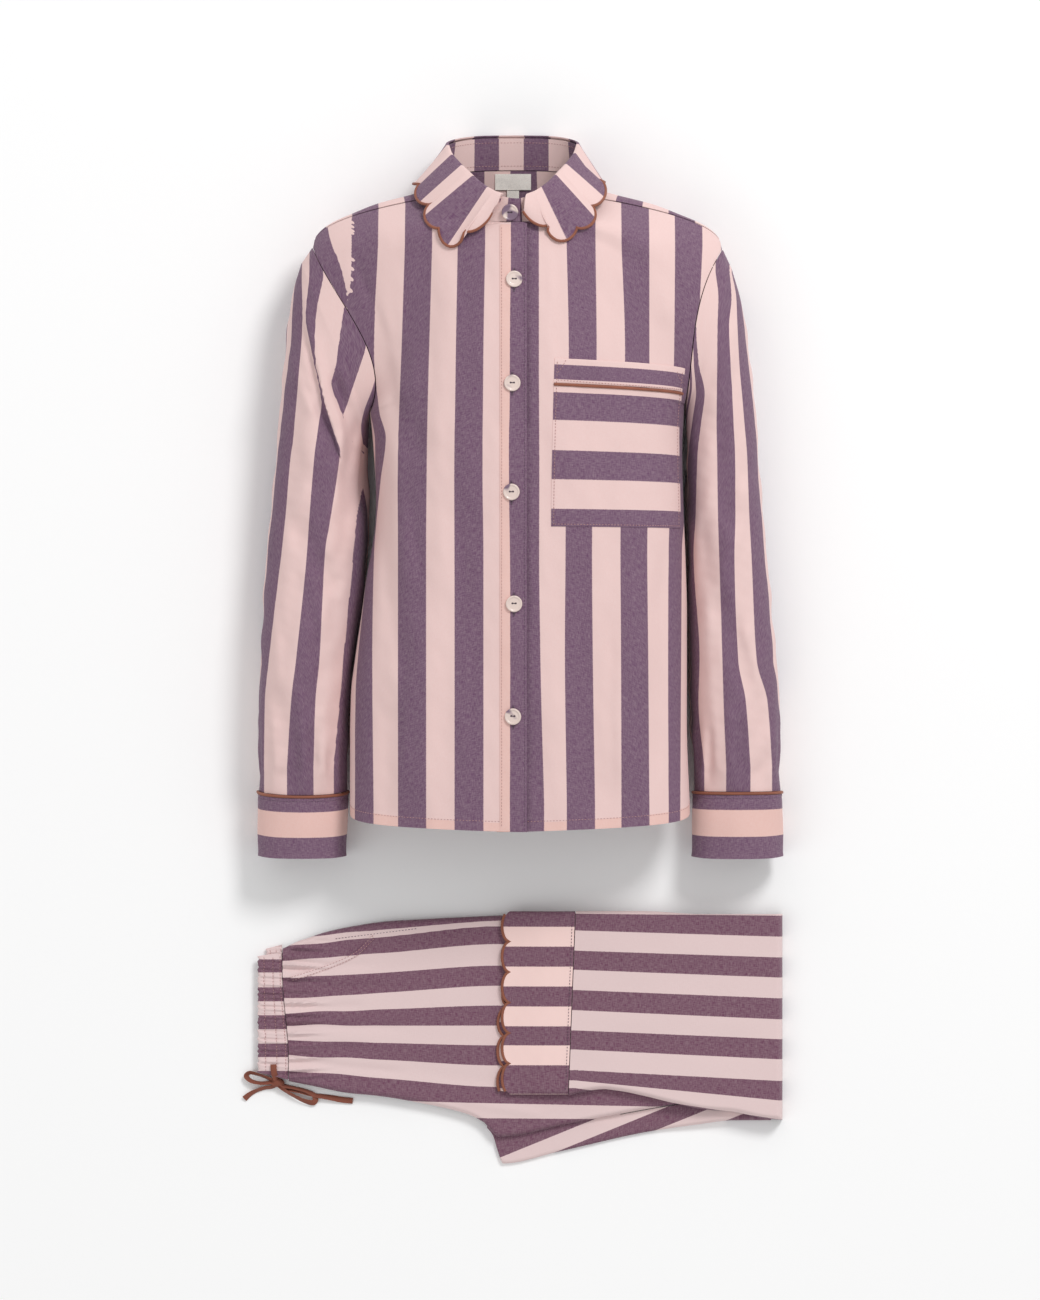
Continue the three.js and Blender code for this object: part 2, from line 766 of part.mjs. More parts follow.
// The pocket's two side edges, from its bottom to its mouth.
const POCKET = table(
  "y leftX rightX",
  [119, 31, 160],
  [122, 31, 160],
  [218, 32.5, 158.5],
  [258, 33.5, 161],
  [289, 34.5, 165],
);
const POCKET_BODY = { bottomY: 122, topY: 257 };
const POCKET_BAND = { bottomY: 262.6, topY: 285 };
const POCKET_PIPING_Y = 259.8;
const POCKET_TILT = 3;

function pocketPatch({ bottomY, topY }, count) {
  const rows = steps(count).map((t) => {
    const y = mix(bottomY, topY, t);
    const edge = read(POCKET, y);
    return steps(9).map((across) => [
      mix(edge.leftX, edge.rightX, 1 - (1 - across) ** 1.8),
      y + POCKET_TILT * (0.5 - across),
    ]);
  });
  return frontPatch(SIDES.left, rows, THIN_CLOTH);
}

function pocketPiping() {
  const edge = read(POCKET, POCKET_PIPING_Y);
  const path = steps(10).map((t) => {
    const across = 1 - (1 - t) ** 1.5;
    const x = mix(edge.leftX, edge.rightX - 0.5, across);
    const y = POCKET_PIPING_Y + POCKET_TILT * (0.5 - across ** 0.67);
    return onFront(SIDES.left, x, y, PATCH_GAP + PIPING_RADIUS).p;
  });
  return tube(path, PIPING_RADIUS, 6, 16);
}

const BUTTONS = table(
  "number x y",
  [1, -10, 435],
  [2, -6, 368],
  [3, -8, 265],
  [4, -8.4, 157],
  [5, -6.2, 46],
  [6, -6.7, -66],
);

function buttonShape() {
  const profile = [
    [0, 0],
    [7.8, 0],
    [BUTTON_RADIUS, 1.3],
    [7.4, 2.6],
    [5.4, 1.9],
    [0, 1.7],
  ];
  const lathe = new THREE.LatheGeometry(
    profile.map(([r, h]) => new THREE.Vector2(r, h)),
    16,
  );
  return lathe.rotateX(Math.PI / 2);
}

function buttonSeat({ number, x, y }) {
  if (number > 1) return onFront(SIDES.right, x, y, PATCH_GAP + LAY_GAP + THIN_CLOTH);
  const t = (y - 425) / 23.5;
  const out = point(0, -0.19, 0.98).normalize();
  return { p: point(x, y, mix(141.5, 146, t)).addScaledVector(out, LAY_GAP + 0.3), out };
}

// The label hangs inside the back of the neck, and the size tab below it.
const LABELS = table("number leftX rightX topY bottomY", [1, -25, 11, 478, 462], [2, -13, -1, 461.3, 453.5]);

function labelPlate({ leftX, rightX, topY, bottomY }) {
  const height = (y) => {
    let down = 0;
    while (yokeColumn(SIDES.left, 2, down).y > y) down += 0.005;
    return yokeColumn(SIDES.left, 2, down).z + CLOTH;
  };
  const layer = (lift) =>
    steps(2).map((t) => {
      const y = mix(topY, bottomY, t);
      return [leftX, rightX].map((x) => point(x, y, height(y) + lift));
    });
  return between(layer(2.8), layer(1.9));
}

// Trousers

const LEG_HIGH = table(
  "x y",
  [-240, -304],
  [-233, -300.5],
  [-219, -292],
  [-194, -283],
  [-165, -277],
  [-135, -272.6],
  [-100, -270.5],
  [-15, -266.5],
  [60, -264.5],
  [264, -267],
);
const LEG_LOW = table(
  "x y",
  [-240, -431],
  [-232.5, -433],
  [-208, -438],
  [-173, -445],
  [-142, -448],
  [-100, -455],
  [-55, -465.5],
  [-37, -474],
  [-21, -489],
  [48, -476],
  [146, -458],
  [264, -441],
);
const TURNED_LOW = table(
  "x y",
  [-20, -445],
  [48, -447.5],
  [66, -443.5],
  [86, -441],
  [104, -443],
  [128, -448],
  [156, -455],
  [185, -461],
  [214, -463.5],
  [244, -470],
  [264, -472],
);
const UNDER_LOW = table(
  "x y top",
  [-34, -479, 4.6],
  [-27, -488, 4.6],
  [-22.5, -503, 4.6],
  [-17, -516, 4.6],
  [39, -504, 4.8],
  [126, -484.5, 4.8],
  [176, -477, 8.5],
  [215, -472.5, 11.3],
  [262, -472.4, 11.3],
);
const TURNED_HIGH_Y = { left: -262, right: -265 };
const LEG_EDGE_Z = 5.2;
const LEG_TOP_Z = 12;
const TURNED_EDGE_Z = 12.7;
const TURNED_TOP_Z = 22;

// How a folded edge rounds over: the inset from the edge, and the share of the height there.
const EDGE_ROUND = [
  [0, 0],
  [0.5, 0.55],
  [2.2, 0.87],
  [6, 0.98],
];

// Stations across a folded piece, from its low edge to its high edge, with its rounded edges.
function crossStations(low, high, inside) {
  const near = EDGE_ROUND.map(([inset, lift]) => ({ y: low + inset, lift }));
  const far = EDGE_ROUND.map(([inset, lift]) => ({ y: high - inset, lift })).reverse();
  const middle = steps(inside)
    .slice(1, -1)
    .map((t) => ({ y: mix(low + 6, high - 6, t), lift: 1 }));
  return [...near, ...middle, ...far];
}

// Gathers under the waistband and the long soft folds of the leg.
const LEG_FOLDS = table(
  "x0 y0 x1 y1 width depth",
  [-236, -322, -150, -316, 5, -1.4],
  [-236, -341, -130, -338, 5, -1.6],
  [-236, -359, -160, -358, 5, -1.4],
  [-236, -378, -120, -380, 5, -1.6],
  [-236, -396, -150, -401, 5, -1.4],
  [-236, -413, -120, -424, 5, -1.6],
  [-140, -300, -50, -300, 14, 1.2],
  [-120, -420, -10, -440, 12, -1.2],
  [80, -300, 240, -306, 14, 1.1],
  [90, -390, 250, -398, 14, -1.2],
);

function legPanel() {
  const xs = [-232, -224, -210, -190, -165, -135, -100, -65, -40, -21, 10, 48, 100, 146, 200, 252];
  const grid = xs.map((x, i) =>
    crossStations(read(LEG_LOW, x).y, read(LEG_HIGH, x).y, 10).map(({ y, lift }) => {
      const top = LEG_TOP_Z + (x < 0 ? foldHeight(LEG_FOLDS, x, y) : 0);
      const seam = i === 0 ? waistSeam(y) + SEAM_GAP / 2 + 0.4 : x;
      return point(seam, y, mix(LEG_EDGE_Z, top, lift));
    }),
  );
  return wall(grid, CLOTH, 1);
}

function waistSeam(y) {
  return mix(-239, -232.8, smooth((-321 - y) / 90));
}

function bandSeam(y) {
  return mix(48.5, 55.7, (y + 446) / 184);
}

function turnedHigh(x) {
  return mix(TURNED_HIGH_Y.left, TURNED_HIGH_Y.right, smooth((x - 120) / 60));
}

function turnedLeg() {
  const ends = EDGE_ROUND.map(([inset, lift]) => ({ inset, lift })).reverse();
  const along = [0, 0.06, 0.13, 0.25, 0.4, 0.55, 0.7, 0.85].map((t) => ({ t, lift: 1 }));
  const grid = [...along, ...ends].map((station) => {
    const x = station.t === undefined ? FOLD_X - station.inset : mix(52, FOLD_X - 6, station.t);
    return crossStations(read(TURNED_LOW, x).y, turnedHigh(x), 8).map(({ y, lift }) => {
      const left = bandSeam(y) + SEAM_GAP;
      const px = station.t === undefined ? x : mix(left, FOLD_X - 6, station.t);
      const height = mix(TURNED_EDGE_Z, TURNED_TOP_Z + foldHeight(LEG_FOLDS, px, y), lift);
      return point(px, y, mix(1, height, station.lift));
    });
  });
  return wall(grid, CLOTH, 1);
}

// The scalloped edge of a hem, at a height on the plan.
const SCALLOP = { startY: -262, pitch: 30.6, count: 6, cuspX: -8.6, depth: 8 };

function scallopX(y) {
  const place = (SCALLOP.startY - y) / SCALLOP.pitch;
  const share = place - Math.floor(place);
  return SCALLOP.cuspX - SCALLOP.depth * Math.sqrt(Math.max(0, 1 - (2 * share - 1) ** 2));
}

function hemRows() {
  const rows = [];
  for (let lobe = SCALLOP.count - 1; lobe >= 0; lobe -= 1)
    [0.98, 0.85, 0.6, 0.35, 0.12].forEach((share) => {
      rows.push(SCALLOP.startY - SCALLOP.pitch * (lobe + share));
    });
  return rows;
}

function hemTop(x) {
  return mix(17.6, TURNED_TOP_Z, smooth((x + 16) / 44));
}

function hemBand() {
  const low = -446;
  const high = TURNED_HIGH_Y.left;
  const grid = hemRows().map((y) => {
    const inset = Math.min(y - low, high - y);
    const edge = EDGE_ROUND.reduce((lift, [at, share]) => (inset >= at ? share : lift), 0);
    const lift = inset > 6 ? 1 : edge;
    return steps(5).map((t) => {
      const x = mix(scallopX(y), bandSeam(y) - SEAM_GAP, t);
      return point(x, y, mix(TURNED_EDGE_Z + 2.6, hemTop(x), lift));
    });
  });
  return wall(grid, CLOTH, -1);
}

const UNDER_HEM = { shiftY: 3, lowX: -4.5, highX: 1.5, innerX: 5 };

function underHemX(y) {
  const place = smooth((-330 - y) / 50);
  return Math.min(scallopX(y + UNDER_HEM.shiftY) + mix(UNDER_HEM.highX, UNDER_HEM.lowX, place), -9);
}

function underHem() {
  const layer = (z) =>
    hemRows()
      .filter((y) => y > -443 && y < -266)
      .map((y) => [underHemX(y), UNDER_HEM.innerX].map((x) => point(x, y, z)));
  return between(layer(LEG_TOP_Z + 2), layer(LEG_TOP_Z + 0.5));
}

function hemBinding(edgeX, z, from, to) {
  const path = hemRows()
    .filter((y) => y > from && y < to)
    .map((y) => point(edgeX(y) - PIPING_RADIUS - 2 * SEAM_GAP, y, z));
  return tube(path, PIPING_RADIUS, 5, 40);
}

// The layers that don't show, as one solid: a lower block under the leg, and an upper block under
// the turned leg, which join at the fold.
const LAYERS = table(
  "corner x z",
  [0, -228, 0.6],
  [1, -226, 0],
  [2, -80, 0],
  [3, -44, 0],
  [4, -15, 0],
  [5, 48, 0],
  [6, 146, 0],
  [7, 258, 0],
  [8, 259.6, 1.5],
  [9, 259.8, 8],
  [10, 259.8, 11.8],
  [11, 259.7, 12.6],
  [12, 259, 15.4],
  [13, 256, 18.2],
  [14, 185, 18.4],
  [15, 156, 18.4],
  [16, 128, 18.4],
  [17, 104, 18.4],
  [18, 86, 18.4],
  [19, 66, 18.4],
  [20, 48, 18.4],
  [21, 26, 17.6],
  [22, 9, 15.4],
  [23, 8, 14.2],
  [24, 9, 12.6],
  [25, 48, 12.6],
  [26, 66, 12.6],
  [27, 86, 12.6],
  [28, 104, 12.6],
  [29, 128, 12.6],
  [30, 156, 12.6],
  [31, 185, 12.6],
  [32, 253.4, 12.6],
  [33, 253.6, 11],
  [34, 253.4, 9.6],
  [35, 146, 9.6],
  [36, 48, 9.6],
  [37, -15, 8.9],
  [38, -44, 8.8],
  [39, -80, 8.8],
  [40, -165, 8.4],
  [41, -226, 8.2],
  [42, -228, 7.4],
);

function innerLayers() {
  const loop = (inset, pinch) =>
    LAYERS.map(({ x, z }) => {
      const upper = smooth((z - 11.9) / 0.6);
      const low = mix(read(LEG_LOW, x).y, read(TURNED_LOW, x).y, upper);
      const high = mix(read(LEG_HIGH, x).y, turnedHigh(x), upper);
      const middle = upper > 0.5 ? 16 : 4.8;
      return { x, z: mix(z, middle, pinch), low: low + inset, high: high - inset };
    });
  const rounded = [
    { inset: 17, pinch: 0.5 },
    { inset: 5.4, pinch: 0.25 },
    { inset: 4.6, pinch: 0 },
  ];
  const loops = rounded.map(({ inset, pinch }) => loop(inset, pinch));
  const lows = loops.map((places) => places.map(({ x, z, low }) => point(x, low, z)));
  const highs = loops.map((places) => places.map(({ x, z, high }) => point(x, high, z)));
  const widest = loops[loops.length - 1];
  const across = (t) => widest.map(({ x, z, low, high }) => point(x, mix(low, high, t), z));
  const middles = [0.33, 0.67].map(across);
  const grid = [...lows, ...middles, ...highs.reverse()];
  const outline = grid[0].map((p) => new THREE.Vector2(p.x, p.z));
  const caps = THREE.ShapeUtils.triangulateShape(outline, []);
  const count = outline.length;
  const faces = [];
  for (let i = 0; i < grid.length - 1; i += 1)
    for (let j = 0; j < count; j += 1) {
      const next = (j + 1) % count;
      faces.push(i * count + j, (i + 1) * count + j, (i + 1) * count + next);
      faces.push(i * count + j, (i + 1) * count + next, i * count + next);
    }
  const lastRow = (grid.length - 1) * count;
  const turned = THREE.ShapeUtils.area(outline) > 0 ? 1 : -1;
  caps.forEach(([a, b, c]) => {
    if (turned > 0) faces.push(a, b, c, lastRow + a, lastRow + c, lastRow + b);
    else faces.push(a, c, b, lastRow + a, lastRow + b, lastRow + c);
  });
  return solid(grid.flat(), faces);
}

// How the leg beneath rounds over at its low edge: a share of its width, an inset that is not passed,
// and the share of the height there.
const UNDER_ROUND = table(
  "share inset lift",
  [0, 0, 0.35],
  [0.1, 0.8, 0.75],
  [0.3, 3, 1],
  [0.6, 99, 1],
  [0.94, 99, 1],
  [1, 99, 0.92],
);

function underLeg() {
  const xs = [-33, -27, -22.5, -17, 10, 39, 80, 126, 176, 215, 252];
  const layer = (upper) =>
    xs.map((x) => {
      const { y: low, top } = read(UNDER_LOW, x);
      const thick = x > 100 ? 1 : 0;
      const high = read(LEG_LOW, x).y + mix(1.7, -0.8, thick);
      const wide = high - low;
      return UNDER_ROUND.map(({ share, inset, lift }, j) => {
        const y = low + Math.min(share * wide, inset);
        return point(x, y, upper * top * lift + (1 - upper) * (j === 0 ? 0.6 : 0));
      });
    });
  return between(layer(1), layer(0));
}

const WAISTBAND = {
  front: { lowY: -424, highY: -307.5, leftX: -263.7, bottom: 5.9, top: 11.2, gathers: 1 },
  back: { lowY: -417, highY: -300, leftX: -255.5, bottom: 0, top: 5.3, gathers: 0.5 },
};
const GATHER_PITCH = 14.5;

function waistband({ lowY, highY, leftX, bottom, top, gathers }) {
  const layer = (upper) =>
    steps(16).map((t) => {
      const y = mix(lowY, highY, t);
      const end = 1 - Math.abs(2 * t - 1) ** 12;
      const right = waistSeam(y) - SEAM_GAP / 2;
      const shares = [0, 0.12, 0.37, 0.68, 1];
      const swell = [0.5, 0.92, 1, 1, 0.92];
      return shares.map((share, j) => {
        const wave = gathers * Math.cos((2 * Math.PI * y) / GATHER_PITCH) * (j % 2 ? 0.4 : 1);
        const round = swell[j] * mix(0.55, 1, end);
        const middle = (top + bottom) / 2;
        const height = upper ? middle + (top - middle) * round + 0.5 * wave : mix(middle, bottom, round);
        return point(mix(leftX, right, share), y, height);
      });
    });
  return between(layer(true), layer(false));
}

const POCKET_EDGE = table("x y", [-229, -332.5], [-194, -321], [-164, -307.5], [-147, -291]);

function trouserPocketEdge() {
  const width = 5;
  const layer = (lift) =>
    steps(9).map((t) => {
      const x = mix(-229, -147, t);
      const y = read(POCKET_EDGE, x).y;
      return [0, width].map((up) => {
        const py = y + up;
        return point(x - up * 0.35, py, LEG_TOP_Z + foldHeight(LEG_FOLDS, x, py) + lift);
      });
    });
  return between(layer(1.3), layer(0.45));
}

// Drawstring: a flat tape, whose pieces run from the buttonhole to the knot, and from the knot.
const DRAWSTRING = {
  exit: [
    [-247.6, -416, 12.7],
    [-247.4, -421, 12.5],
    [-246.8, -425.4, 11.2],
    [-246, -428, 9.4],
    [-245.2, -430.6, 6.7],
  ],
  loop_right: [
    [-249.6, -431.6, 3.4],
    [-257, -428.6, 2.6],
    [-265, -426, 2],
    [-272, -424.8, 1.8],
    [-275, -428, 1.8],
    [-271, -432.5, 2],
    [-262, -435, 2.6],
    [-256, -434.9, 3.6],
  ],
  tail_right: [
    [-249, -438.9, 1.6],
    [-256, -440, 1.1],
    [-264, -442.5, 0.9],
    [-271, -446, 0.9],
    [-277, -451, 0.9],
  ],
  loop_left: [
    [-237.3, -437.6, 3.6],
    [-226, -440, 3.2],
    [-214, -443.5, 3],
    [-205.5, -449, 3],
    [-207, -454.5, 3],
    [-215, -453.6, 3],
    [-226, -448.6, 3.2],
    [-234, -444, 3.8],
  ],
  tail_left: [
    [-238, -440.6, 0.9],
    [-224, -443, 0.9],
    [-208, -447, 0.9],
    [-192, -449.5, 0.9],
    [-178, -452, 0.9],
    [-168, -453, 0.9],
  ],
};

function tape(places, along) {
  const curve = new THREE.CatmullRomCurve3(
    places.map(([x, y, z]) => point(x, y, z)),
    false,
    "centripetal",
  );
  const line = curve.getSpacedPoints(along);
  const layer = (lift) =>
    line.map((p, i) => {
      const ahead = line[Math.min(i + 1, along)].clone().sub(line[Math.max(i - 1, 0)]);
      const across = point(-ahead.y, ahead.x, 0).normalize();
      const out = ahead.clone().normalize().cross(across);
      return [-0.5, 0, 0.5].map((share) =>
        p
          .clone()
          .addScaledVector(across, share * TAPE_WIDTH)
          .addScaledVector(out, lift),
      );
    });
  return between(layer(-TAPE_THICK / 2), layer(TAPE_THICK / 2));
}

function knot() {
  const ball = new THREE.SphereGeometry(1, 12, 8);
  ball.scale(6.4, 4.6, 3.4);
  return ball;
}

// The scene graph

const finish = (color, roughness) => new THREE.MeshStandardMaterial({ color, roughness, metalness: 0 });
const MATERIALS = {
  cloth: finish(COLORS.stripe, 0.9),
  pale: finish(COLORS.pale, 0.9),
  binding: finish(COLORS.binding, 0.8),
  button: finish(COLORS.button, 0.3),
  label: finish(COLORS.label, 0.85),
};

function piece(name, geometry, material) {
  const mesh = new THREE.Mesh(geometry, MATERIALS[material]);
  mesh.name = name;
  return mesh;
}

function shirt() {
  const group = new THREE.Group();
  [SIDES.right, SIDES.left].forEach((side) => {
    group.add(
      piece(`shirt_front_${side.name}`, wall(frontGrid(side), CLOTH, -side.sign), "cloth"),
      piece(`sleeve_${side.name}`, wall(sleeveGrid(side), CLOTH, -side.sign, true), "cloth"),
      piece(`cuff_${side.name}`, cuffWall(side), "pale"),
      piece(`cuff_piping_${side.name}`, cuffPiping(side), "binding"),
    );
  });
  group.add(
    piece("shirt_back", wall(backGrid(), CLOTH, -1), "cloth"),
    piece("shirt_yoke", wall(yokeGrid(), CLOTH, 1), "pale"),
    piece("collar_stand", wall(standGrid(), CLOTH, -1), "pale"),
    piece("collar_leaf", wall(leafGrid(), CLOTH, 1), "cloth"),
    piece("collar_binding", leafBinding(), "binding"),
    piece("front_placket", placketPatch(), "cloth"),
    piece("chest_pocket", pocketPatch(POCKET_BODY, 8), "pale"),
    piece("chest_pocket_band", pocketPatch(POCKET_BAND, 2), "cloth"),
    piece("chest_pocket_piping", pocketPiping(), "binding"),
  );
  BUTTONS.forEach((row) => {
    const seat = buttonSeat(row);
    const button = piece(`button_${row.number}`, buttonShape(), "button");
    button.position.copy(seat.p);
    button.quaternion.setFromUnitVectors(point(0, 0, 1), seat.out);
    group.add(button);
  });
  ["neck_label", "size_tab"].forEach((name, i) => group.add(piece(name, labelPlate(LABELS[i]), "label")));
  return group;
}

function trousers() {
  const group = new THREE.Group();
  group.add(
    piece("trouser_leg_top", legPanel(), "cloth"),
    piece("trouser_leg_turned", turnedLeg(), "cloth"),
    piece("trouser_leg_under", underLeg(), "pale"),
    piece("trouser_layers", innerLayers(), "pale"),
    piece("hem_band", hemBand(), "cloth"),
    piece("hem_band_under", underHem(), "pale"),
    piece("hem_binding", hemBinding(scallopX, 17, -446, -262), "binding"),
    piece("hem_binding_under", hemBinding(underHemX, LEG_TOP_Z + 1.95, -443, -266), "binding"),
    piece("waistband_front", waistband(WAISTBAND.front), "cloth"),
    piece("waistband_back", waistband(WAISTBAND.back), "pale"),
    piece("trouser_pocket_edge", trouserPocketEdge(), "pale"),
  );
  Object.entries(DRAWSTRING).forEach(([name, places]) => {
    group.add(piece(`drawstring_${name}`, tape(places, places.length * 2), "binding"));
  });
  const bow = piece("drawstring_knot", knot(), "binding");
  bow.position.set(-243.4, -434.4, 4);
  group.add(bow);
  return group;
}

const pyjamaSet = new THREE.Group();
pyjamaSet.add(shirt(), trousers());

export default pyjamaSet;
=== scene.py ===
"""A striped pyjama set: a shirt lying on its back in its filled-out form, and folded trousers."""

import math

import bmesh
import bpy
import numpy as np
from bpy.props import FloatProperty, PointerProperty, StringProperty
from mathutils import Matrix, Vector


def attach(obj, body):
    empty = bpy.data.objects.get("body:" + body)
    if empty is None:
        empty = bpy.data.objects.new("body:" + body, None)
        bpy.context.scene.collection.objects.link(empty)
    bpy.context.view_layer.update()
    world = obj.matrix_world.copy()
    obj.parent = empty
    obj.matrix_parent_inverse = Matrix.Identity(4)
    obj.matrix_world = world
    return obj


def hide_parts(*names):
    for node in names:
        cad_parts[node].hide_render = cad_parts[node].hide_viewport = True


bl_info = {
    "name": "Pyjama set",
    "version": (1, 0, 0),
    "blender": (4, 5, 0),
    "location": "View3D > Sidebar > Pyjama set",
    "description": "Builds a striped pyjama shirt and folded trousers as thin cloth over their solids",
    "category": "Object",
}

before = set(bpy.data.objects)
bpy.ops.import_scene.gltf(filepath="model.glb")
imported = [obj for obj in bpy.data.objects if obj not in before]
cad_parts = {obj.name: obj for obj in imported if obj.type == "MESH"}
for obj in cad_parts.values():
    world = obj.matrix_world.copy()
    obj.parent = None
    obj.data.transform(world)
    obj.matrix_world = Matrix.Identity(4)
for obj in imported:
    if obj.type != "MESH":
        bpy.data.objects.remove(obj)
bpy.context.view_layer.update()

# The photograph's frame: 1 mm to the pixel, with its middle at (520, 649)
PIXEL_X = 520
PIXEL_Y = 649
FRAME_HEIGHT = 1.3

# Millimetres, as in the part's source
CLOTH = 1.0
NECK_X = -4
FRONT_LAP = 4.8
FLAT_SHARE = 0.6
YOKE_SEAM_Y = 385
PIPING_RADIUS = 1.5
UV_NAME = "cloth"


def mix(a, b, t):
    return a + (b - a) * t


def smooth(t):
    t = np.clip(t, 0, 1)
    return t * t * (3 - 2 * t)


def bump(t):
    """A soft hump that is 1 at 0."""
    return np.exp(-np.square(t))


class Stations:
    """A table with named columns, read between its rows without overshoot."""

    def __init__(self, names, *rows):
        self.names = names.split()
        self.rows = np.array(rows, float)
        key = self.rows[:, :1]
        rise = np.diff(self.rows, axis=0) / np.diff(key, axis=0)
        before, after = rise[:-1], rise[1:]
        total = np.where(before + after == 0, 1, before + after)
        middle = np.where(before * after <= 0, 0, 2 * before * after / total)
        self.slopes = np.vstack([rise[:1], middle, rise[-1:]])

    def read(self, name, at):
        column = self.names.index(name)
        key = self.rows[:, 0]
        at = np.asarray(at, float)
        i = np.clip(np.searchsorted(key, at, side="left") - 1, 0, len(key) - 2)
        span = key[i + 1] - key[i]
        t = np.clip((at - key[i]) / span, 0, 1)
        a, b = self.rows[i, column], self.rows[i + 1, column]
        leave, arrive = self.slopes[i, column] * span, self.slopes[i + 1, column] * span
        return (
            a * (1 + 2 * t) * (1 - t) ** 2
            + leave * t * (1 - t) ** 2
            + b * t * t * (3 - 2 * t)
            - arrive * t * t * (1 - t)
        )


def points(x, y, z):
    return np.stack(np.broadcast_arrays(x, y, z), axis=-1).astype(float)


def unit(vectors):
    return vectors / np.linalg.norm(vectors, axis=-1, keepdims=True)


def path_length(path):
    """Length along a path at each of its points."""
    return np.concatenate([[0], np.cumsum(np.linalg.norm(np.diff(path, axis=0), axis=1))])


# Shirt forms, the same tables as in the part's source


SIDES = {
    "right": {
        "sign": -1,
        "arm_top": np.array([-207.0, 402, 58]),
        "arm_under": np.array([-150.0, 237, 60]),
        "scoop": (2, 34, 10),
        "edge_x": 7,
        "lap": 0,
        "neck_wide": 1,
        "hem_side_y": -159,
        "seam": Stations(
            "y x",
            [-160, -170],
            [-91, -170],
            [-44, -169],
            [-9, -165],
            [39, -158],
            [69, -154],
            [130, -144.5],
            [150, -144],
            [209, -147],
            [237, -150],
        ),
    },
    "left": {
        "sign": 1,
        "arm_top": np.array([202.0, 400, 58]),
        "arm_under": np.array([164.5, 245, 60]),
        "scoop": (16, 2, 8),
        "edge_x": -23,
        "lap": FRONT_LAP,
        "neck_wide": 0.9,
        "hem_side_y": -158,
        "seam": Stations(
            "y x", [-160, 170], [-69, 166.8], [33, 167], [96, 165.4], [130, 164], [200, 162.3], [245, 164.5]
        ),
    },
}
ARM_RISE = 42
ARM_DROP = 46
SIDE_SEAM_HEIGHT = 60

CREST = Stations(
    "y z", [-182, 132], [-100, 138], [0, 145], [100, 151], [200, 156], [300, 157], [395, 149], [425, 141.5]
)
NECK = Stations(
    "turn seam_x seam_y seam_z roll_x roll_y roll_z",
    [0, 0, 481, 8, 0, 514, 9],
    [1, 31, 480.5, 10.5, 31, 513.5, 11.5],
    [2, 58, 478, 22, 56, 510.5, 24],
    [3, 76, 474, 43, 68, 505, 45],
    [4, 82, 467, 63, 66, 496, 67],
    [5, 80, 452, 84, 58, 485, 87],
    [6, 70, 440, 105, 48, 474.5, 106],
    [7, 52, 431.5, 124, 34, 461.5, 126],
    [8, 26, 426, 137, 18.5, 452.5, 139],
    [9, 0, 425, 141.5, 0, 448.5, 146],
    [10, -20, 425, 141.5, -20, 448.5, 146],
)
NECK_FRONT_Y = 425
SHOULDER_TURN = 5
NECK_SHARE = 0.48
MIDDLE = Stations(
    "down y", [NECK_SHARE, 424.6], [0.6, 393], [0.8, 333], [1, 262], [1.2, 192], [1.5, 76], [2, -181]
)
ROW_SHAPE = Stations(
    "down ease bend", [0, 1, 0.42], [0.15, 1.4, 0.75], [0.3, 2, 1], [1.9, 2, 1], [2, 1, 0.22]
)
# Where the lapped front end of the neck starts to lie lower, and over how much of its turn
LAP_START = 7.2
LAP_SPREAD = 1.6
# A front's rows fill out to a round section between these two places down it
ROUND_START = 0.55
ROUND_SPREAD = 0.45

# Soft troughs (negative) and ridges between two places on the plan: x0 y0 x1 y1 width depth.
# The first rows are the part's own, and the rest are finer.
FRONT_FOLDS = [
    (-150, 300, -95, 190, 15, -4),
    (-128, 205, -112, 60, 14, 3.5),
    (-140, 120, -118, -20, 12, -4),
    (-92, 30, -98, -165, 15, 3.5),
    (-62, 150, -52, -60, 17, -3),
    (-128, -60, -132, -170, 11, -3),
    (60, 90, 72, -165, 16, -3.5),
    (112, 60, 104, -120, 14, 3.5),
    (142, 90, 138, -120, 11, -4),
    (118, 410, 150, 330, 14, 3),
    (-168, 395, -128, 300, 7, -2.2),
    (-140, 350, -116, 250, 6, 1.8),
    (-112, 160, -96, 60, 6, -1.4),
    (-76, 300, -84, 180, 9, 1.2),
    (-40, -40, -36, -170, 7, 1.1),
    (-108, -20, -116, -120, 6, 1.3),
    (36, 90, 42, -60, 7, -1.3),
    (88, 40, 92, -150, 6, -1.5),
    (124, 20, 120, -150, 5, 1.4),
    (60, 400, 54, 300, 9, -1.2),
    (104, 380, 96, 300, 7, 1.1),
    (150, 80, 152, -60, 5, 1.8),
    (30, 380, 34, 120, 5, 1),
]
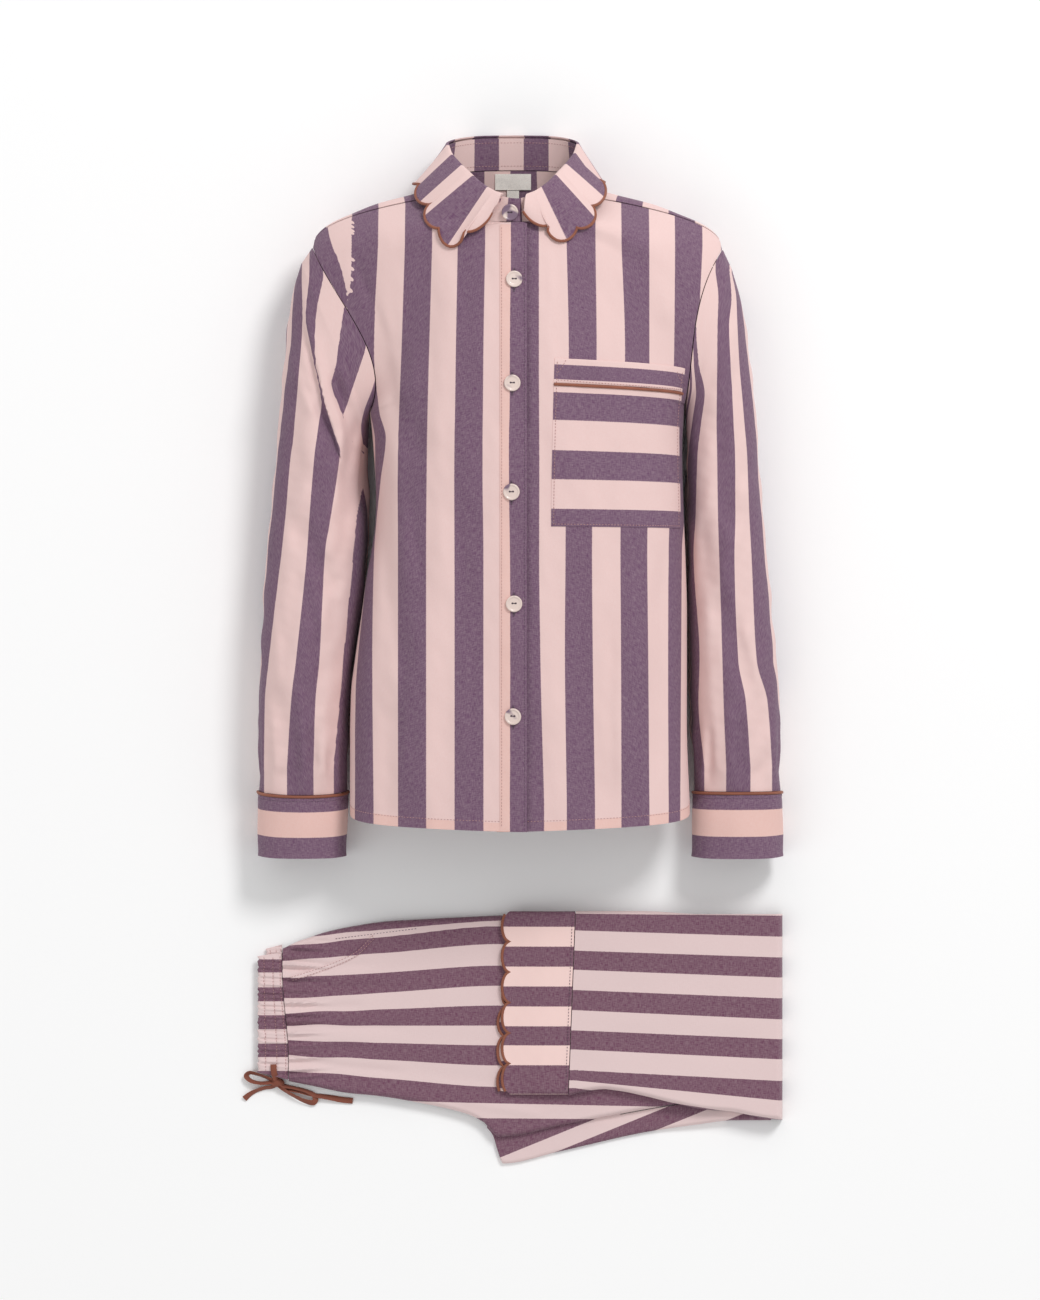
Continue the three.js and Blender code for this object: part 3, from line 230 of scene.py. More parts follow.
SLEEVE_FOLDS = [
    (-196, 330, -176, 215, 12, -4),
    (-222, 300, -206, 180, 12, 4),
    (-176, 190, -200, 90, 11, 4),
    (-225, 130, -186, 60, 12, -4),
    (-196, 40, -240, -40, 12, 3.5),
    (-236, -50, -232, -130, 9, -4),
    (-196, -60, -200, -130, 9, 3.5),
    (214, 330, 196, 240, 11, 4),
    (192, 230, 214, 120, 12, -4),
    (226, 170, 200, 70, 11, 4),
    (200, 50, 232, -40, 12, -4),
    (208, -60, 206, -130, 9, 3.5),
    (238, -40, 236, -130, 9, -3.5),
    (-212, 60, -196, -30, 6, -1.8),
    (-248, 60, -240, -30, 5, 1.6),
    (-220, -40, -216, -138, 5, 2.2),
    (-246, -70, -247, -138, 4, 1.8),
    (-184, -70, -186, -138, 4, -1.8),
    (-208, -80, -208, -138, 4, -1.6),
    (226, 20, 244, -60, 6, 2),
    (186, 60, 190, -50, 6, 2),
    (222, -70, 222, -138, 5, -2.2),
    (190, -80, 188, -138, 4, -1.8),
    (250, -80, 250, -138, 4, 1.6),
    (206, 360, 212, 280, 6, 1.8),
    (180, 150, 190, 60, 6, -1.8),
    (-160, 305, -156, 215, 8, -10),
    (-236, 300, -206, 236, 6, 2.4),
    (-214, 262, -186, 214, 5, -2.2),
]


def fold_height(folds, x, y):
    total = np.zeros(np.broadcast(x, y).shape)
    for x0, y0, x1, y1, width, depth in folds:
        dx, dy = x1 - x0, y1 - y0
        length = math.hypot(dx, dy)
        t = ((x - x0) * dx + (y - y0) * dy) / length**2
        away = np.abs((x - x0) * dy - (y - y0) * dx) / length
        total = total + depth * smooth(t * 4 + 0.5) * smooth((1 - t) * 4 + 0.5) * bump(away / width)
    return total


def ripple(x, y, size, seed):
    """An uneven, gentle height of about -1 to 1, from a few crossing waves."""
    draw = np.random.default_rng(seed)
    total = 0
    for i in range(7):
        angle = draw.uniform(0, math.pi)
        pitch = size * draw.uniform(0.6, 1.7)
        shift = draw.uniform(0, 2 * math.pi)
        cosine, sine = math.cos(angle), math.sin(angle)
        bend = draw.uniform(0.5, 1.5) * np.sin(2 * math.pi * (x * sine - y * cosine) / (3.1 * pitch))
        total = total + np.sin(2 * math.pi * (x * cosine + y * sine) / pitch + shift + bend)
    return total / 4


def armhole(side, turn):
    """Points of the armhole's seam: turn 0 is its top, 1 the underarm, and below 0 is behind."""
    angle = np.pi * np.asarray(turn, float)
    sine = np.sin(angle)
    high = (1 + np.cos(angle)) / 2
    top, low, behind = side["scoop"]
    front = top * high + low * (1 - high)
    p = side["arm_under"] + (side["arm_top"] - side["arm_under"]) * high[..., None]
    p[..., 0] -= side["sign"] * sine * sine * np.where(sine >= 0, front, behind)
    p[..., 2] += sine * np.where(sine >= 0, ARM_RISE, ARM_DROP)
    return p


def side_edge(side, down):
    """Points of a front's outer edge: the armhole down to 1, and the side seam down to 2."""
    down = np.asarray(down, float)
    y = mix(side["arm_under"][1], side["hem_side_y"], np.clip(down - 1, 0, 1))
    seam = points(side["seam"].read("x", y), y, SIDE_SEAM_HEIGHT)
    return np.where(down[..., None] <= 1, armhole(side, np.minimum(down, 1)), seam)


def lap_share(turn):
    return smooth((turn - LAP_START) / LAP_SPREAD)


def neck_line(side, turn, line):
    """The seam or the roll line of the neck on one side."""
    drop = side["lap"] * lap_share(turn)
    x, y, z = (NECK.read(f"{line}_{axis}", turn) for axis in "xyz")
    return points(NECK_X + side["sign"] * side["neck_wide"] * x, y, z - drop)


def middle_of(side, down):
    """Points of a front's inner edge: round the neck, and then down the closure."""
    down = np.asarray(down, float)
    y = MIDDLE.read("y", np.maximum(down, NECK_SHARE))
    below = points(side["edge_x"], y, CREST.read("z", y) - side["lap"])
    turn = mix(SHOULDER_TURN, 9, np.minimum(down, NECK_SHARE) / NECK_SHARE)
    corner = np.array(
        [side["edge_x"], NECK_FRONT_Y - side["lap"] / 3, CREST.read("z", NECK_FRONT_Y) - side["lap"]]
    )
    last = neck_line(side, np.array(8.0), "seam")
    past = last + (corner - last) * np.clip(turn - 8, 0, 1)[..., None]
    around = np.where(turn[..., None] <= 8, neck_line(side, np.minimum(turn, 8), "seam"), past)
    return np.where(down[..., None] >= NECK_SHARE, below, around)


def front_at(side, down, x):
    """Points of a front on its rows (0 the shoulder, 1 the underarm, 2 the hem) at places across."""
    edge, middle = side_edge(side, down), middle_of(side, down)
    round_ = smooth((down - ROUND_START) / ROUND_SPREAD)
    pick = np.minimum if side["sign"] < 0 else np.maximum
    crown = pick(middle[..., 0], NECK_X)
    across = np.clip((x - edge[..., 0]) / (crown - edge[..., 0]), 0, 1)
    bent = (1 - (1 - across) ** ROW_SHAPE.read("ease", down)) ** ROW_SHAPE.read("bend", down)
    y = mix(edge[..., 1], middle[..., 1], bent)
    height = mix(edge[..., 2], middle[..., 2], (1 - (1 - across) ** 2) ** mix(1, 0.43, round_))
    free = smooth(across * 6) * smooth(down * 3)
    wrinkles = fold_height(FRONT_FOLDS, x, y) + 1.2 * ripple(x, y * 0.4, 38, 11)
    wrinkles = wrinkles + 0.4 * ripple(x, y * 0.5, 15, 12)
    return points(x, y, height + free * wrinkles)


def front_over(side, x, y):
    """The front's height and row over places on the plan."""
    high, low = np.zeros(x.shape), np.full(x.shape, 2.0)
    for _ in range(22):
        down = (high + low) / 2
        above = front_at(side, down, x)[..., 1] > y
        high, low = np.where(above, down, high), np.where(above, low, down)
    return front_at(side, low, x)[..., 2]


def on_front(side, x, y, lift):
    """Points over a front at a height above its cloth, with the way out at each."""
    step = 1.5
    slope_x = (front_over(side, x + step, y) - front_over(side, x - step, y)) / (2 * step)
    slope_y = (front_over(side, x, y + step) - front_over(side, x, y - step)) / (2 * step)
    out = unit(points(-slope_x, -slope_y, 1.0))
    return points(x, y, front_over(side, x, y)) + out * np.asarray(lift)[..., None], out


# Meshes


def normals_of(grid, closed):
    up = np.gradient(grid, axis=0)
    if closed:
        across = np.roll(grid, -1, axis=1) - np.roll(grid, 1, axis=1)
    else:
        across = np.gradient(grid, axis=1)
    normal = np.cross(up, across)
    size = np.linalg.norm(normal, axis=-1, keepdims=True)
    return normal / np.where(size == 0, 1, size)


def add_mesh(name, verts, faces, material, uvs=None, smooth_angle=40):
    """A mesh object from points in millimetres, which rides on the root body."""
    mesh = bpy.data.meshes.new(name)
    mesh.from_pydata((np.asarray(verts) / 1000).tolist(), [], faces)
    if uvs is not None:
        layer = mesh.uv_layers.new(name=UV_NAME)
        layer.data.foreach_set("uv", np.asarray(uvs, float).ravel())
    solid = bmesh.new()
    solid.from_mesh(mesh)
    bmesh.ops.recalc_face_normals(solid, faces=solid.faces)
    solid.to_mesh(mesh)
    solid.free()
    mesh.shade_smooth()
    mesh.set_sharp_from_angle(angle=math.radians(smooth_angle))
    piece = bpy.data.objects.new(name, mesh)
    bpy.context.scene.collection.objects.link(piece)
    piece.data.materials.append(material)
    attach(piece, "root")
    return piece


def shell(
    name, grid, uv, material, thickness=CLOTH, sign=1, closed=False, hem=None
):
    """A thin closed cloth wall on a grid of outer points. uv is in millimetres of cloth, and has one
    more column than a closed grid. hem is the material of a doubled hem and its first row."""
    rows, columns = grid.shape[:2]
    out = normals_of(grid, closed) * sign
    inner = grid - out * thickness
    verts = np.concatenate([grid.reshape(-1, 3), inner.reshape(-1, 3)])
    inside = rows * columns
    last = columns if closed else columns - 1
    i, j = np.meshgrid(np.arange(rows - 1), np.arange(last), indexing="ij")
    i, j = i.ravel(), j.ravel()

    def at(a, b):
        return a * columns + b % columns

    outer = np.stack([at(i, j), at(i + 1, j), at(i + 1, j + 1), at(i, j + 1)], axis=1)
    outer_uv = np.stack([uv[i, j], uv[i + 1, j], uv[i + 1, j + 1], uv[i, j + 1]], axis=1)
    if sign < 0:
        outer, outer_uv = outer[:, ::-1], outer_uv[:, ::-1]
    faces, texels = [outer, outer[:, ::-1] + inside], [outer_uv, outer_uv[:, ::-1]]

    def rim(a0, b0, a1, b1, turn):
        quad = np.stack([at(a0, b0), at(a1, b1), at(a1, b1) + inside, at(a0, b0) + inside], axis=1)
        quad_uv = np.stack([uv[a0, b0], uv[a1, b1], uv[a1, b1], uv[a0, b0]], axis=1)
        if turn:
            quad, quad_uv = quad[:, ::-1], quad_uv[:, ::-1]
        faces.append(quad)
        texels.append(quad_uv)

    flip = sign < 0
    k = np.arange(last)
    first, end = np.zeros(last, int), np.full(last, rows - 1)
    rim(first, k, first, k + 1, flip)
    rim(end, k, end, k + 1, not flip)
    if not closed:
        k = np.arange(rows - 1)
        start, stop = np.zeros(rows - 1, int), np.full(rows - 1, columns - 1)
        rim(k, start, k + 1, start, not flip)
        rim(k, stop, k + 1, stop, flip)
    faces = np.concatenate(faces)
    texels = np.concatenate(texels).reshape(-1, 2) / 1000
    piece = add_mesh(name, verts, faces.tolist(), material, texels)
    if hem:
        piece.data.materials.append(hem[0])
        for index in range(hem[1] * last, (rows - 1) * last):
            piece.data.polygons[index].material_index = 1
    return piece


def tube(
    name, path, radius, material, node_slot, closed=False, sides=10, flatten=1.0, up=(0, 0, 1), tilt=0.0
):
    """A round or flattened tube along a path, with closed ends. tilt, in radians, turns a flat one
    about its path."""
    path = np.asarray(path, float)
    if closed:
        ahead = np.roll(path, -1, axis=0) - np.roll(path, 1, axis=0)
    else:
        ahead = np.gradient(path, axis=0)
    ahead = unit(ahead)
    across = unit(np.cross(ahead, np.asarray(up, float)))
    over = np.cross(across, ahead)
    cosine, sine = (np.broadcast_to(f(tilt), len(path))[:, None] for f in (np.cos, np.sin))
    across, over = across * cosine + over * sine, over * cosine - across * sine
    turn = 2 * np.pi * np.arange(sides) / sides
    wide = across[:, None] * np.cos(turn)[None, :, None]
    high = over[:, None] * flatten * np.sin(turn)[None, :, None]
    verts = path[:, None] + radius * (wide + high)
    count = len(path)
    faces = []
    for i in range(count if closed else count - 1):
        for j in range(sides):
            a, b = i * sides, (i + 1) % count * sides
            faces.append([a + j, b + j, b + (j + 1) % sides, a + (j + 1) % sides][::-1])
    if not closed:
        faces.append(list(range(sides)))
        faces.append([(count - 1) * sides + j for j in range(sides)][::-1])
    length = path_length(path) / 1000
    girth = 2 * np.pi * radius / 1000
    uvs = [(length[vertex // sides], vertex % sides * girth / sides) for face in faces for vertex in face]
    return add_mesh(name, verts.reshape(-1, 3), faces, material, uvs, 60)


def turned_faces(rings, sides, first=0):
    """Faces of a body of rings between two end points, whose points are numbered from first."""
    faces = []
    last = first + 1 + rings * sides
    for k in range(sides):
        n = (k + 1) % sides
        faces.append([first, first + 1 + n, first + 1 + k])
        faces.append([last, last - sides + k, last - sides + n])
        for r in range(rings - 1):
            a = first + 1 + r * sides
            b = a + sides
            faces.append([a + k, a + n, b + n, b + k])
    return faces


# A stitch's sizes in millimetres: its ends sink into the cloth, and its middle stands on it
STITCH = {"pitch": 3.2, "length": 2.2, "radius": 0.34, "lift": 0.12, "sink": 0.25, "sides": 5}
# Along a stitch: the share of its length and of its radius
STITCH_PROFILE = [(-0.5, 0.0), (-0.32, 0.8), (0, 1), (0.32, 0.8), (0.5, 0.0)]


def along(path, spacing, outward):
    """A path's points at even spacing, with the way ahead and the way out at each."""
    length = path_length(path)
    places = np.arange(spacing / 2, length[-1], spacing)

    def at(values, further=0.0):
        return np.stack([np.interp(places + further, length, values[:, k]) for k in range(3)], axis=1)

    found = at(path)
    out = at(np.broadcast_to(np.asarray(outward, float), (len(path), 3)))
    return found, unit(at(path, 0.5) - found), out


def stitches(name, lines, material):
    """Lines of sewing: each stitch is a short closed bead of thread. A line is (path, outward)."""
    verts, faces = [], []
    sides = STITCH["sides"]
    for path, outward in lines:
        for p, d, o in zip(*along(np.asarray(path, float), STITCH["pitch"], outward)):
            over = unit(o - d * np.dot(o, d))
            across = np.cross(d, over)
            faces += turned_faces(len(STITCH_PROFILE) - 2, sides, len(verts))
            for share, swell in STITCH_PROFILE:
                lift = STITCH["lift"] - STITCH["sink"] * (1 - swell)
                centre = p + d * share * STITCH["length"] + over * lift
                if swell == 0:
                    verts.append(centre)
                    continue
                for angle in 2 * np.pi * np.arange(sides) / sides:
                    ray = across * math.cos(angle) + over * math.sin(angle)
                    verts.append(centre + STITCH["radius"] * swell * ray)
    return add_mesh(name, np.array(verts), faces, material, smooth_angle=180)


def over_line(path):
    """A line of sewing just over a path on cloth that faces up."""
    return path + np.array([0, 0, 0.1]), (0, 0, 1)


# Finishes


def linear(hex_color):
    """An sRGB hex colour as linear red, green, blue and alpha."""
    parts = [int(hex_color[i : i + 2], 16) / 255 for i in (1, 3, 5)]
    return [p / 12.92 if p <= 0.04045 else ((p + 0.055) / 1.055) ** 2.4 for p in parts] + [1]


def node(tree, kind, links=(), **settings):
    """Adds a node. A setting that names a socket sets its value, and links are (input, socket)."""
    made = tree.nodes.new(kind)
    for key, value in settings.items():
        if hasattr(made, key):
            setattr(made, key, value)
        else:
            made.inputs[key.replace("_", " ")].default_value = value
    for name, socket in links:
        tree.links.new(socket, made.inputs[name])
    return made


def set_inputs(shader, **values):
    for key, value in values.items():
        shader.inputs[key.replace("_", " ")].default_value = value


def new_material(name):
    material = bpy.data.materials.new(name)
    material.use_nodes = True
    return material, material.node_tree, material.node_tree.nodes["Principled BSDF"]


# The pale weft that shows between the coloured warp threads of both cloths
PALE_WEFT = "#F0DEDC"


def striped_cotton(name, width_mm, purple, pink):
    """Yarn-dyed chambray cotton, plain-woven and pressed: matt, soft-edged stripes in which a pale
    weft shows as short uneven flecks, clearly on purple and hardly on pink. The threads are drawn
    0.9 mm apart, coarser than the real 0.3 mm, so that they show."""
    material, tree, shader = new_material(name)
    place = node(tree, "ShaderNodeUVMap", uv_map=UV_NAME)
    axes = node(tree, "ShaderNodeSeparateXYZ", [("Vector", place.outputs["UV"])])
    wobble = node(tree, "ShaderNodeTexNoise", [("Vector", place.outputs["UV"])], Scale=900.0, Detail=1.0)
    # The edge of a stripe wavers by up to half a thread
    links = [(0, wobble.outputs["Fac"]), (2, axes.outputs["X"])]
    shift = node(tree, "ShaderNodeMath", links, operation="MULTIPLY_ADD")
    shift.inputs[1].default_value = 0.0006
    turns = node(tree, "ShaderNodeMath", [(0, shift.outputs[0])], operation="DIVIDE")
    turns.inputs[1].default_value = 2 * width_mm / 1000
    wave = node(tree, "ShaderNodeMath", [(0, turns.outputs[0])], operation="FRACT")
    band = node(tree, "ShaderNodeValToRGB", [("Fac", wave.outputs[0])])
    ramp = band.color_ramp
    soft = 0.006
    ramp.elements[0].position, ramp.elements[0].color = soft, linear(purple)
    ramp.elements[1].position, ramp.elements[1].color = 0.5 - soft, linear(purple)
    for at, color in ((0.5 + soft, pink), (1 - soft, pink), (1, purple)):
        ramp.elements.new(at).color = linear(color)
    # Threads are long along the warp and short across it, and the weft's the other way
    threads = []
    for scale in ((1200, 200, 1), (200, 1200, 1)):
        stretch = node(tree, "ShaderNodeMapping", [("Vector", place.outputs["UV"])], Scale=scale)
        links = [("Vector", stretch.outputs[0])]
        threads.append(node(tree, "ShaderNodeTexNoise", links, Scale=1.0, Detail=2.0).outputs["Fac"])
    crossed = node(tree, "ShaderNodeMath", list(enumerate(threads)), operation="ADD")
    links = [("Value", crossed.outputs[0])]
    flecks = node(tree, "ShaderNodeMapRange", links, From_Min=0.75, From_Max=1.25, To_Min=0.0, To_Max=0.15)
    links = [(0, flecks.outputs[0]), (6, band.outputs["Color"])]
    cloth = node(tree, "ShaderNodeMix", links, data_type="RGBA")
    cloth.inputs[7].default_value = linear(PALE_WEFT)
    tree.links.new(cloth.outputs[2], shader.inputs["Base Color"])
    weave = node(tree, "ShaderNodeBump", [("Height", crossed.outputs[0])], Strength=0.3, Distance=0.0003)
    tree.links.new(weave.outputs[0], shader.inputs["Normal"])
    set_inputs(shader, Roughness=0.82, Specular_IOR_Level=0.25, Sheen_Weight=0.1, Sheen_Roughness=0.5)
    return material


def plain_cloth(name, color, thread_mm, roughness=0.75):
    """A plain dyed cloth tape or binding, whose threads show as fine ribs."""
    material, tree, shader = new_material(name)
    place = node(tree, "ShaderNodeTexCoord")
    links = [("Vector", place.outputs["Object"])]
    fine = node(tree, "ShaderNodeTexNoise", links, Scale=1000 / thread_mm, Detail=2.0)
    cloudy = node(tree, "ShaderNodeTexNoise", links, Scale=60.0)
    links = [(0, fine.outputs["Fac"]), (1, cloudy.outputs["Fac"])]
    total = node(tree, "ShaderNodeMath", links, operation="ADD")
    links = [("Value", total.outputs[0])]
    value = node(tree, "ShaderNodeMapRange", links, From_Min=0.6, From_Max=1.4, To_Min=0.8, To_Max=1.2)
    shade = node(tree, "ShaderNodeHueSaturation", [("Value", value.outputs[0])], Color=linear(color))
    tree.links.new(shade.outputs[0], shader.inputs["Base Color"])
    weave = node(tree, "ShaderNodeBump", [("Height", fine.outputs["Fac"])], Strength=0.4, Distance=0.0003)
    tree.links.new(weave.outputs[0], shader.inputs["Normal"])
    set_inputs(shader, Roughness=roughness, Sheen_Weight=0.1)
    return material


def pearly_plastic(name, color, second):
    """Cast polyester buttons with a pearl flake, turned and polished: mostly cream, with a cloudy
    purple-grey part that differs from button to button. The clouds are about 20 mm wide."""
    material, tree, shader = new_material(name)
    place = node(tree, "ShaderNodeTexCoord")
    clouds = node(tree, "ShaderNodeTexNoise", [("Vector", place.outputs["Object"])], Scale=52.0, Detail=1.0)
    band = node(tree, "ShaderNodeValToRGB", [("Fac", clouds.outputs["Fac"])])
    band.color_ramp.elements[0].position, band.color_ramp.elements[0].color = 0.51, linear(color)
    band.color_ramp.elements[1].position, band.color_ramp.elements[1].color = 0.57, linear(second)
    tree.links.new(band.outputs["Color"], shader.inputs["Base Color"])
    set_inputs(shader, Roughness=0.34, Coat_Weight=0.25, Coat_Roughness=0.12)
    return material


# Cloth coordinates: x runs across the stripes, and a stripe changes at each multiple of its width


def arc(grid, axis):
    """Length along a grid's rows or columns, from its first point."""
    steps = np.linalg.norm(np.diff(grid, axis=axis), axis=-1)
    shape = list(grid.shape[:2])
    shape[axis] = 1
    return np.concatenate([np.zeros(shape), np.cumsum(steps, axis=axis)], axis=axis)


def with_uv(across, down):
    return np.stack(np.broadcast_arrays(across, down), axis=-1)


def phase_grid(grid, lines_at, first, width):
    """The place across the stripes for a grid whose rows run across them: read from the lines
    between stripes (photograph pixels, at a pixel row), and past them by length along the cloth."""
    x = grid[..., 0] + PIXEL_X
    y = PIXEL_Y - grid[..., 1]
    length = arc(grid, 1)
    phase = np.empty(x.shape)
    for i in range(x.shape[0]):
        lines = lines_at(y[i])
        order = np.argsort(x[i], kind="stable")
        numbers = (first + np.arange(len(lines))) * width
        forward = 1 if x[i, -1] > x[i, 0] else -1
        start = np.interp(lines[0], x[i][order], length[i][order])
        stop = np.interp(lines[-1], x[i][order], length[i][order])
        inside = [np.interp(x[i, j], lines[:, j], numbers) for j in range(x.shape[1])]
        before = forward * (length[i] - start)
        after = forward * (length[i] - stop)
        phase[i] = np.where(
            x[i] < lines[0],
            numbers[0] + np.minimum(before, 0),
            np.where(x[i] > lines[-1], numbers[-1] + np.maximum(after, 0), inside),
        )
    return phase


def line_reader(stations):
    return lambda y: np.array([stations.read(name, y) for name in stations.names[1:]])


# The lines between stripes: pixel columns at a few pixel rows
RIGHT_FRONT_LINES = Stations(
    "y a b c d e f",
    [245, 379, 406, 433, 458.6, 485.7, 511.4],
    [352, 374.5, 402.5, 430, 456.8, 484, 510.4],
    [412, 380, 400, 428.5, 456, 483.5, 510],
    [437, 386.5, 399, 428, 455.5, 483.2, 509.5],
    [480, 381, 398.5, 427.5, 455.2, 483.2, 509.5],
    [551, 374.5, 399, 427, 455.4, 484, 510.4],
    [650, 373, 399, 427, 455.5, 484, 510.8],
    [801, 374.3, 399, 427, 455.4, 484, 510.4],
)
# The edges of the right front's outer pink stripe, which closes to a point at the armhole
SHOULDER_LINES = Stations(
    "y outer inner",
    [215, 325, 353],
    [234, 328, 353],
    [245, 331.5, 353],
    [258, 337, 353],
    [275, 342.5, 352.5],
    [290, 345.5, 351.5],
    [300, 346.2, 349.6],
    [310, 346.4, 347],
)
LEFT_FRONT_LINES = Stations(
    "y a b c d e f g",
    [245, 539, 566.8, 595.4, 621.4, 649, 675, 702.5],
    [352, 539, 569, 596.4, 625, 649, 674, 697],
    [477, 539.5, 566, 593, 621, 648, 671, 690],
    [551, 539.3, 565.7, 591.8, 620.4, 647, 668.6, 681.8],
    [650, 540.5, 565, 592.6, 621, 648, 668, 681],
    [801, 544.3, 566.8, 595, 621.4, 649.3, 668.6, 680],
)
SLEEVE_LINES = {
    "right": Stations(
        "y a b c d e",
        [278, 302, 309.7, 323.7, 350, 377],
        [316, 303.2, 306, 316.4, 343.7, 366],
        [345, 301.8, 311.2, 315, 339.5, 366.7],
        [364, 300.1, 315.6, 315.8, 337, 361.5],
        [383, 298.5, 320, 320.2, 331.7, 354.8],
        [402, 296.8, 322.6, 324.8, 338, 348.5],
        [416.5, 295.5, 321, 329.4, 343.7, 344],
        [440, 293.5, 317.5, 337.4, 352, 352.3],
        [450, 292, 316, 341, 362, 363],
        [460, 290.7, 315, 340, 366, 390],
        [517, 285.8, 310.3, 331.3, 357, 384],
        [551, 282, 308, 325.7, 354, 380],
        [659, 269, 297, 320, 343.6, 362],
        [700, 265, 292, 316, 340, 352],
        [766, 264, 287.5, 314, 333.6, 348],
    ),
    "left": Stations(
        "y a b c d",
        [272, 700, 715, 729.7, 731.6],
        [297, 698, 717.8, 731.2, 736],
        [326, 695, 716.9, 728.4, 737],
        [364, 697.7, 716.5, 729.9, 738.9],
        [393, 703.9, 716, 731.6, 741.4],
        [421, 700.6, 715.9, 732.8, 743.7],
        [455, 696.8, 716.5, 734.5, 746.5],
        [517, 694.9, 717.4, 734.7, 748.8],
        [551, 693, 718.6, 733.6, 750.7],
        [659, 699, 722, 737.5, 756],
        [700, 698, 723, 745, 767],
        [766, 704, 725.7, 750, 772],
    ),
}
# The pocket's stripes run across, so its lines are pixel rows
POCKET_LINES = [372.5, 386.5, 399, 426, 455.6, 483.5, 512.4]


def shirt_sizes():
    return bpy.context.scene.pyjama_sizes


def stripe_width():
    return shirt_sizes().shirt_stripe * 1000


def trouser_width():
    return shirt_sizes().trouser_stripe * 1000


def material(name):
    """A finish by name, made at its first use."""
    found = bpy.data.materials.get(name)
    if found:
        return found
    colors = bpy.context.scene.pyjama_colors
    makers = {
        "shirt_cotton": lambda: striped_cotton(name, stripe_width(), colors.purple, colors.pink),
        "trouser_cotton": lambda: striped_cotton(
            name, trouser_width(), colors.trouser_purple, colors.trouser_pink
        ),
        "facing_cotton": lambda: striped_cotton(
            name, trouser_width(), colors.trouser_purple, colors.double_pink
        ),
        "doubled_cotton": lambda: striped_cotton(name, stripe_width(), colors.purple, colors.warm_pink),
        "binding_cloth": lambda: plain_cloth(name, colors.binding, 0.6),
        "drawstring_tape": lambda: plain_cloth(name, colors.tape, 0.7),
        "label_tape": lambda: plain_cloth(name, colors.label, 0.8, 0.8),
        "purple_thread": lambda: plain_cloth(name, colors.purple_thread, 0.4, 0.6),
        "pink_thread": lambda: plain_cloth(name, colors.pink_thread, 0.4, 0.6),
        "dark_thread": lambda: plain_cloth(name, colors.dark_thread, 0.4, 0.6),
        "pearly_plastic": lambda: pearly_plastic(name, colors.pearl, colors.pearl_shade),
    }
    return makers[name]()


def binding_tube(name, path, **settings):
    """A piping or a rolled binding."""
    return tube(name, path, PIPING_RADIUS, material("binding_cloth"), "binding", **settings)


# Shirt pieces


def front_rows(count):
    """Rows of a front, closer at the armhole, the neck and the hem."""
    return np.concatenate([np.linspace(0, 1, count // 2, endpoint=False), np.linspace(1, 2, count)])


HEM_DEPTH = 10
# Pixel rows: the right front's outer pink stripe has closed at the first, and from there to the
# second the cloth outside the first line stays purple
STRIPE_CLOSED_Y = 310
STRIPE_FREE_Y = 350
# A stripe that closes to a point ends where it is twice this wide, in millimetres
TIP_BLUNT = 0.7


def shoulder_phase(grid, phase):
    """The right front's place across the stripes, with its outer pink stripe closed to a point at
    the armhole: below zero on that stripe, by the distance to its nearer edge less TIP_BLUNT."""
    width = stripe_width()
    x, y = grid[..., 0] + PIXEL_X, PIXEL_Y - grid[..., 1]
    outer, inner = SHOULDER_LINES.read("outer", y), SHOULDER_LINES.read("inner", y)
    first = RIGHT_FRONT_LINES.read("a", y)
    purple = np.where(x > inner, width * (x - inner) / (first - inner), np.minimum(outer - x, 0.9 * width))
    pink = np.maximum(outer - x, x - inner) + TIP_BLUNT
    # Known fault: in the last TIP_BLUNT before the inner edge, points take the place of the outer
    # side, which is far below zero, and this leaves small teeth along that edge
    drawn = np.where(pink < 0, pink, purple)
    beside = x < first
    phase = np.where(beside & (y < STRIPE_CLOSED_Y), drawn, phase)
    closed = beside & (y >= STRIPE_CLOSED_Y) & (y < STRIPE_FREE_Y)
    return np.where(closed, np.maximum(phase, 0.02 * width), phase)


def make_front(name):
    side = SIDES[name]
    down = front_rows(120)[:, None]
    edge, middle = side_edge(side, down), middle_of(side, down)
    t = np.linspace(0, 1, 84)[None, :]
    share = mix(t, 1 - np.cos(t * math.pi / 2), smooth((down - ROUND_START) / ROUND_SPREAD))
    grid = front_at(side, down, mix(edge[..., 0], middle[..., 0], share))
    # The hem is turned up and sewn: it stands a little proud, with a groove at its stitches
    from_hem = (arc(grid, 0)[-1:] - arc(grid, 0)) - HEM_DEPTH
    grid[..., 2] += np.where(down > 1.5, 0.35 * smooth(-from_hem / 3) - 0.5 * bump(from_hem / 1.3), 0)
    if name == "left":
        # Small puckers down the left front beside the placket
        beside = bump((grid[..., 0] - 13) / 7) * smooth(down * 8 - 5)
        grid[..., 2] += 0.8 * beside * ripple(grid[..., 0], grid[..., 1] * 0.35, 13, 13)
    lines = RIGHT_FRONT_LINES if name == "right" else LEFT_FRONT_LINES
    phase = phase_grid(grid, line_reader(lines), 1, stripe_width())
    if name == "right":
        phase = shoulder_phase(grid, phase)
    length = arc(grid, 0)
    from_end = np.median(length[-1:] - length, axis=1)
    piece = shell(
        f"shirt_front_{name}_cloth",
        grid,
        with_uv(phase, -length),
        material("shirt_cotton"),
        sign=-side["sign"],
        hem=(material("doubled_cotton"), int(np.argmax(from_end < HEM_DEPTH + 1))),
    )
    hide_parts(f"shirt_front_{name}")
    numbers = np.arange(len(down))
    row = [np.interp(column[-1] - HEM_DEPTH, column, numbers) for column in length.T]
    low = np.floor(row).astype(int)
    sewn = [mix(grid[k, j], grid[min(k + 1, len(down) - 1), j], row[j] - k) for j, k in enumerate(low)]
    sewing = stitches(
        f"shirt_front_{name}_hem_stitches", [(np.array(sewn), (0, 0, 1))], material("pink_thread")
    )


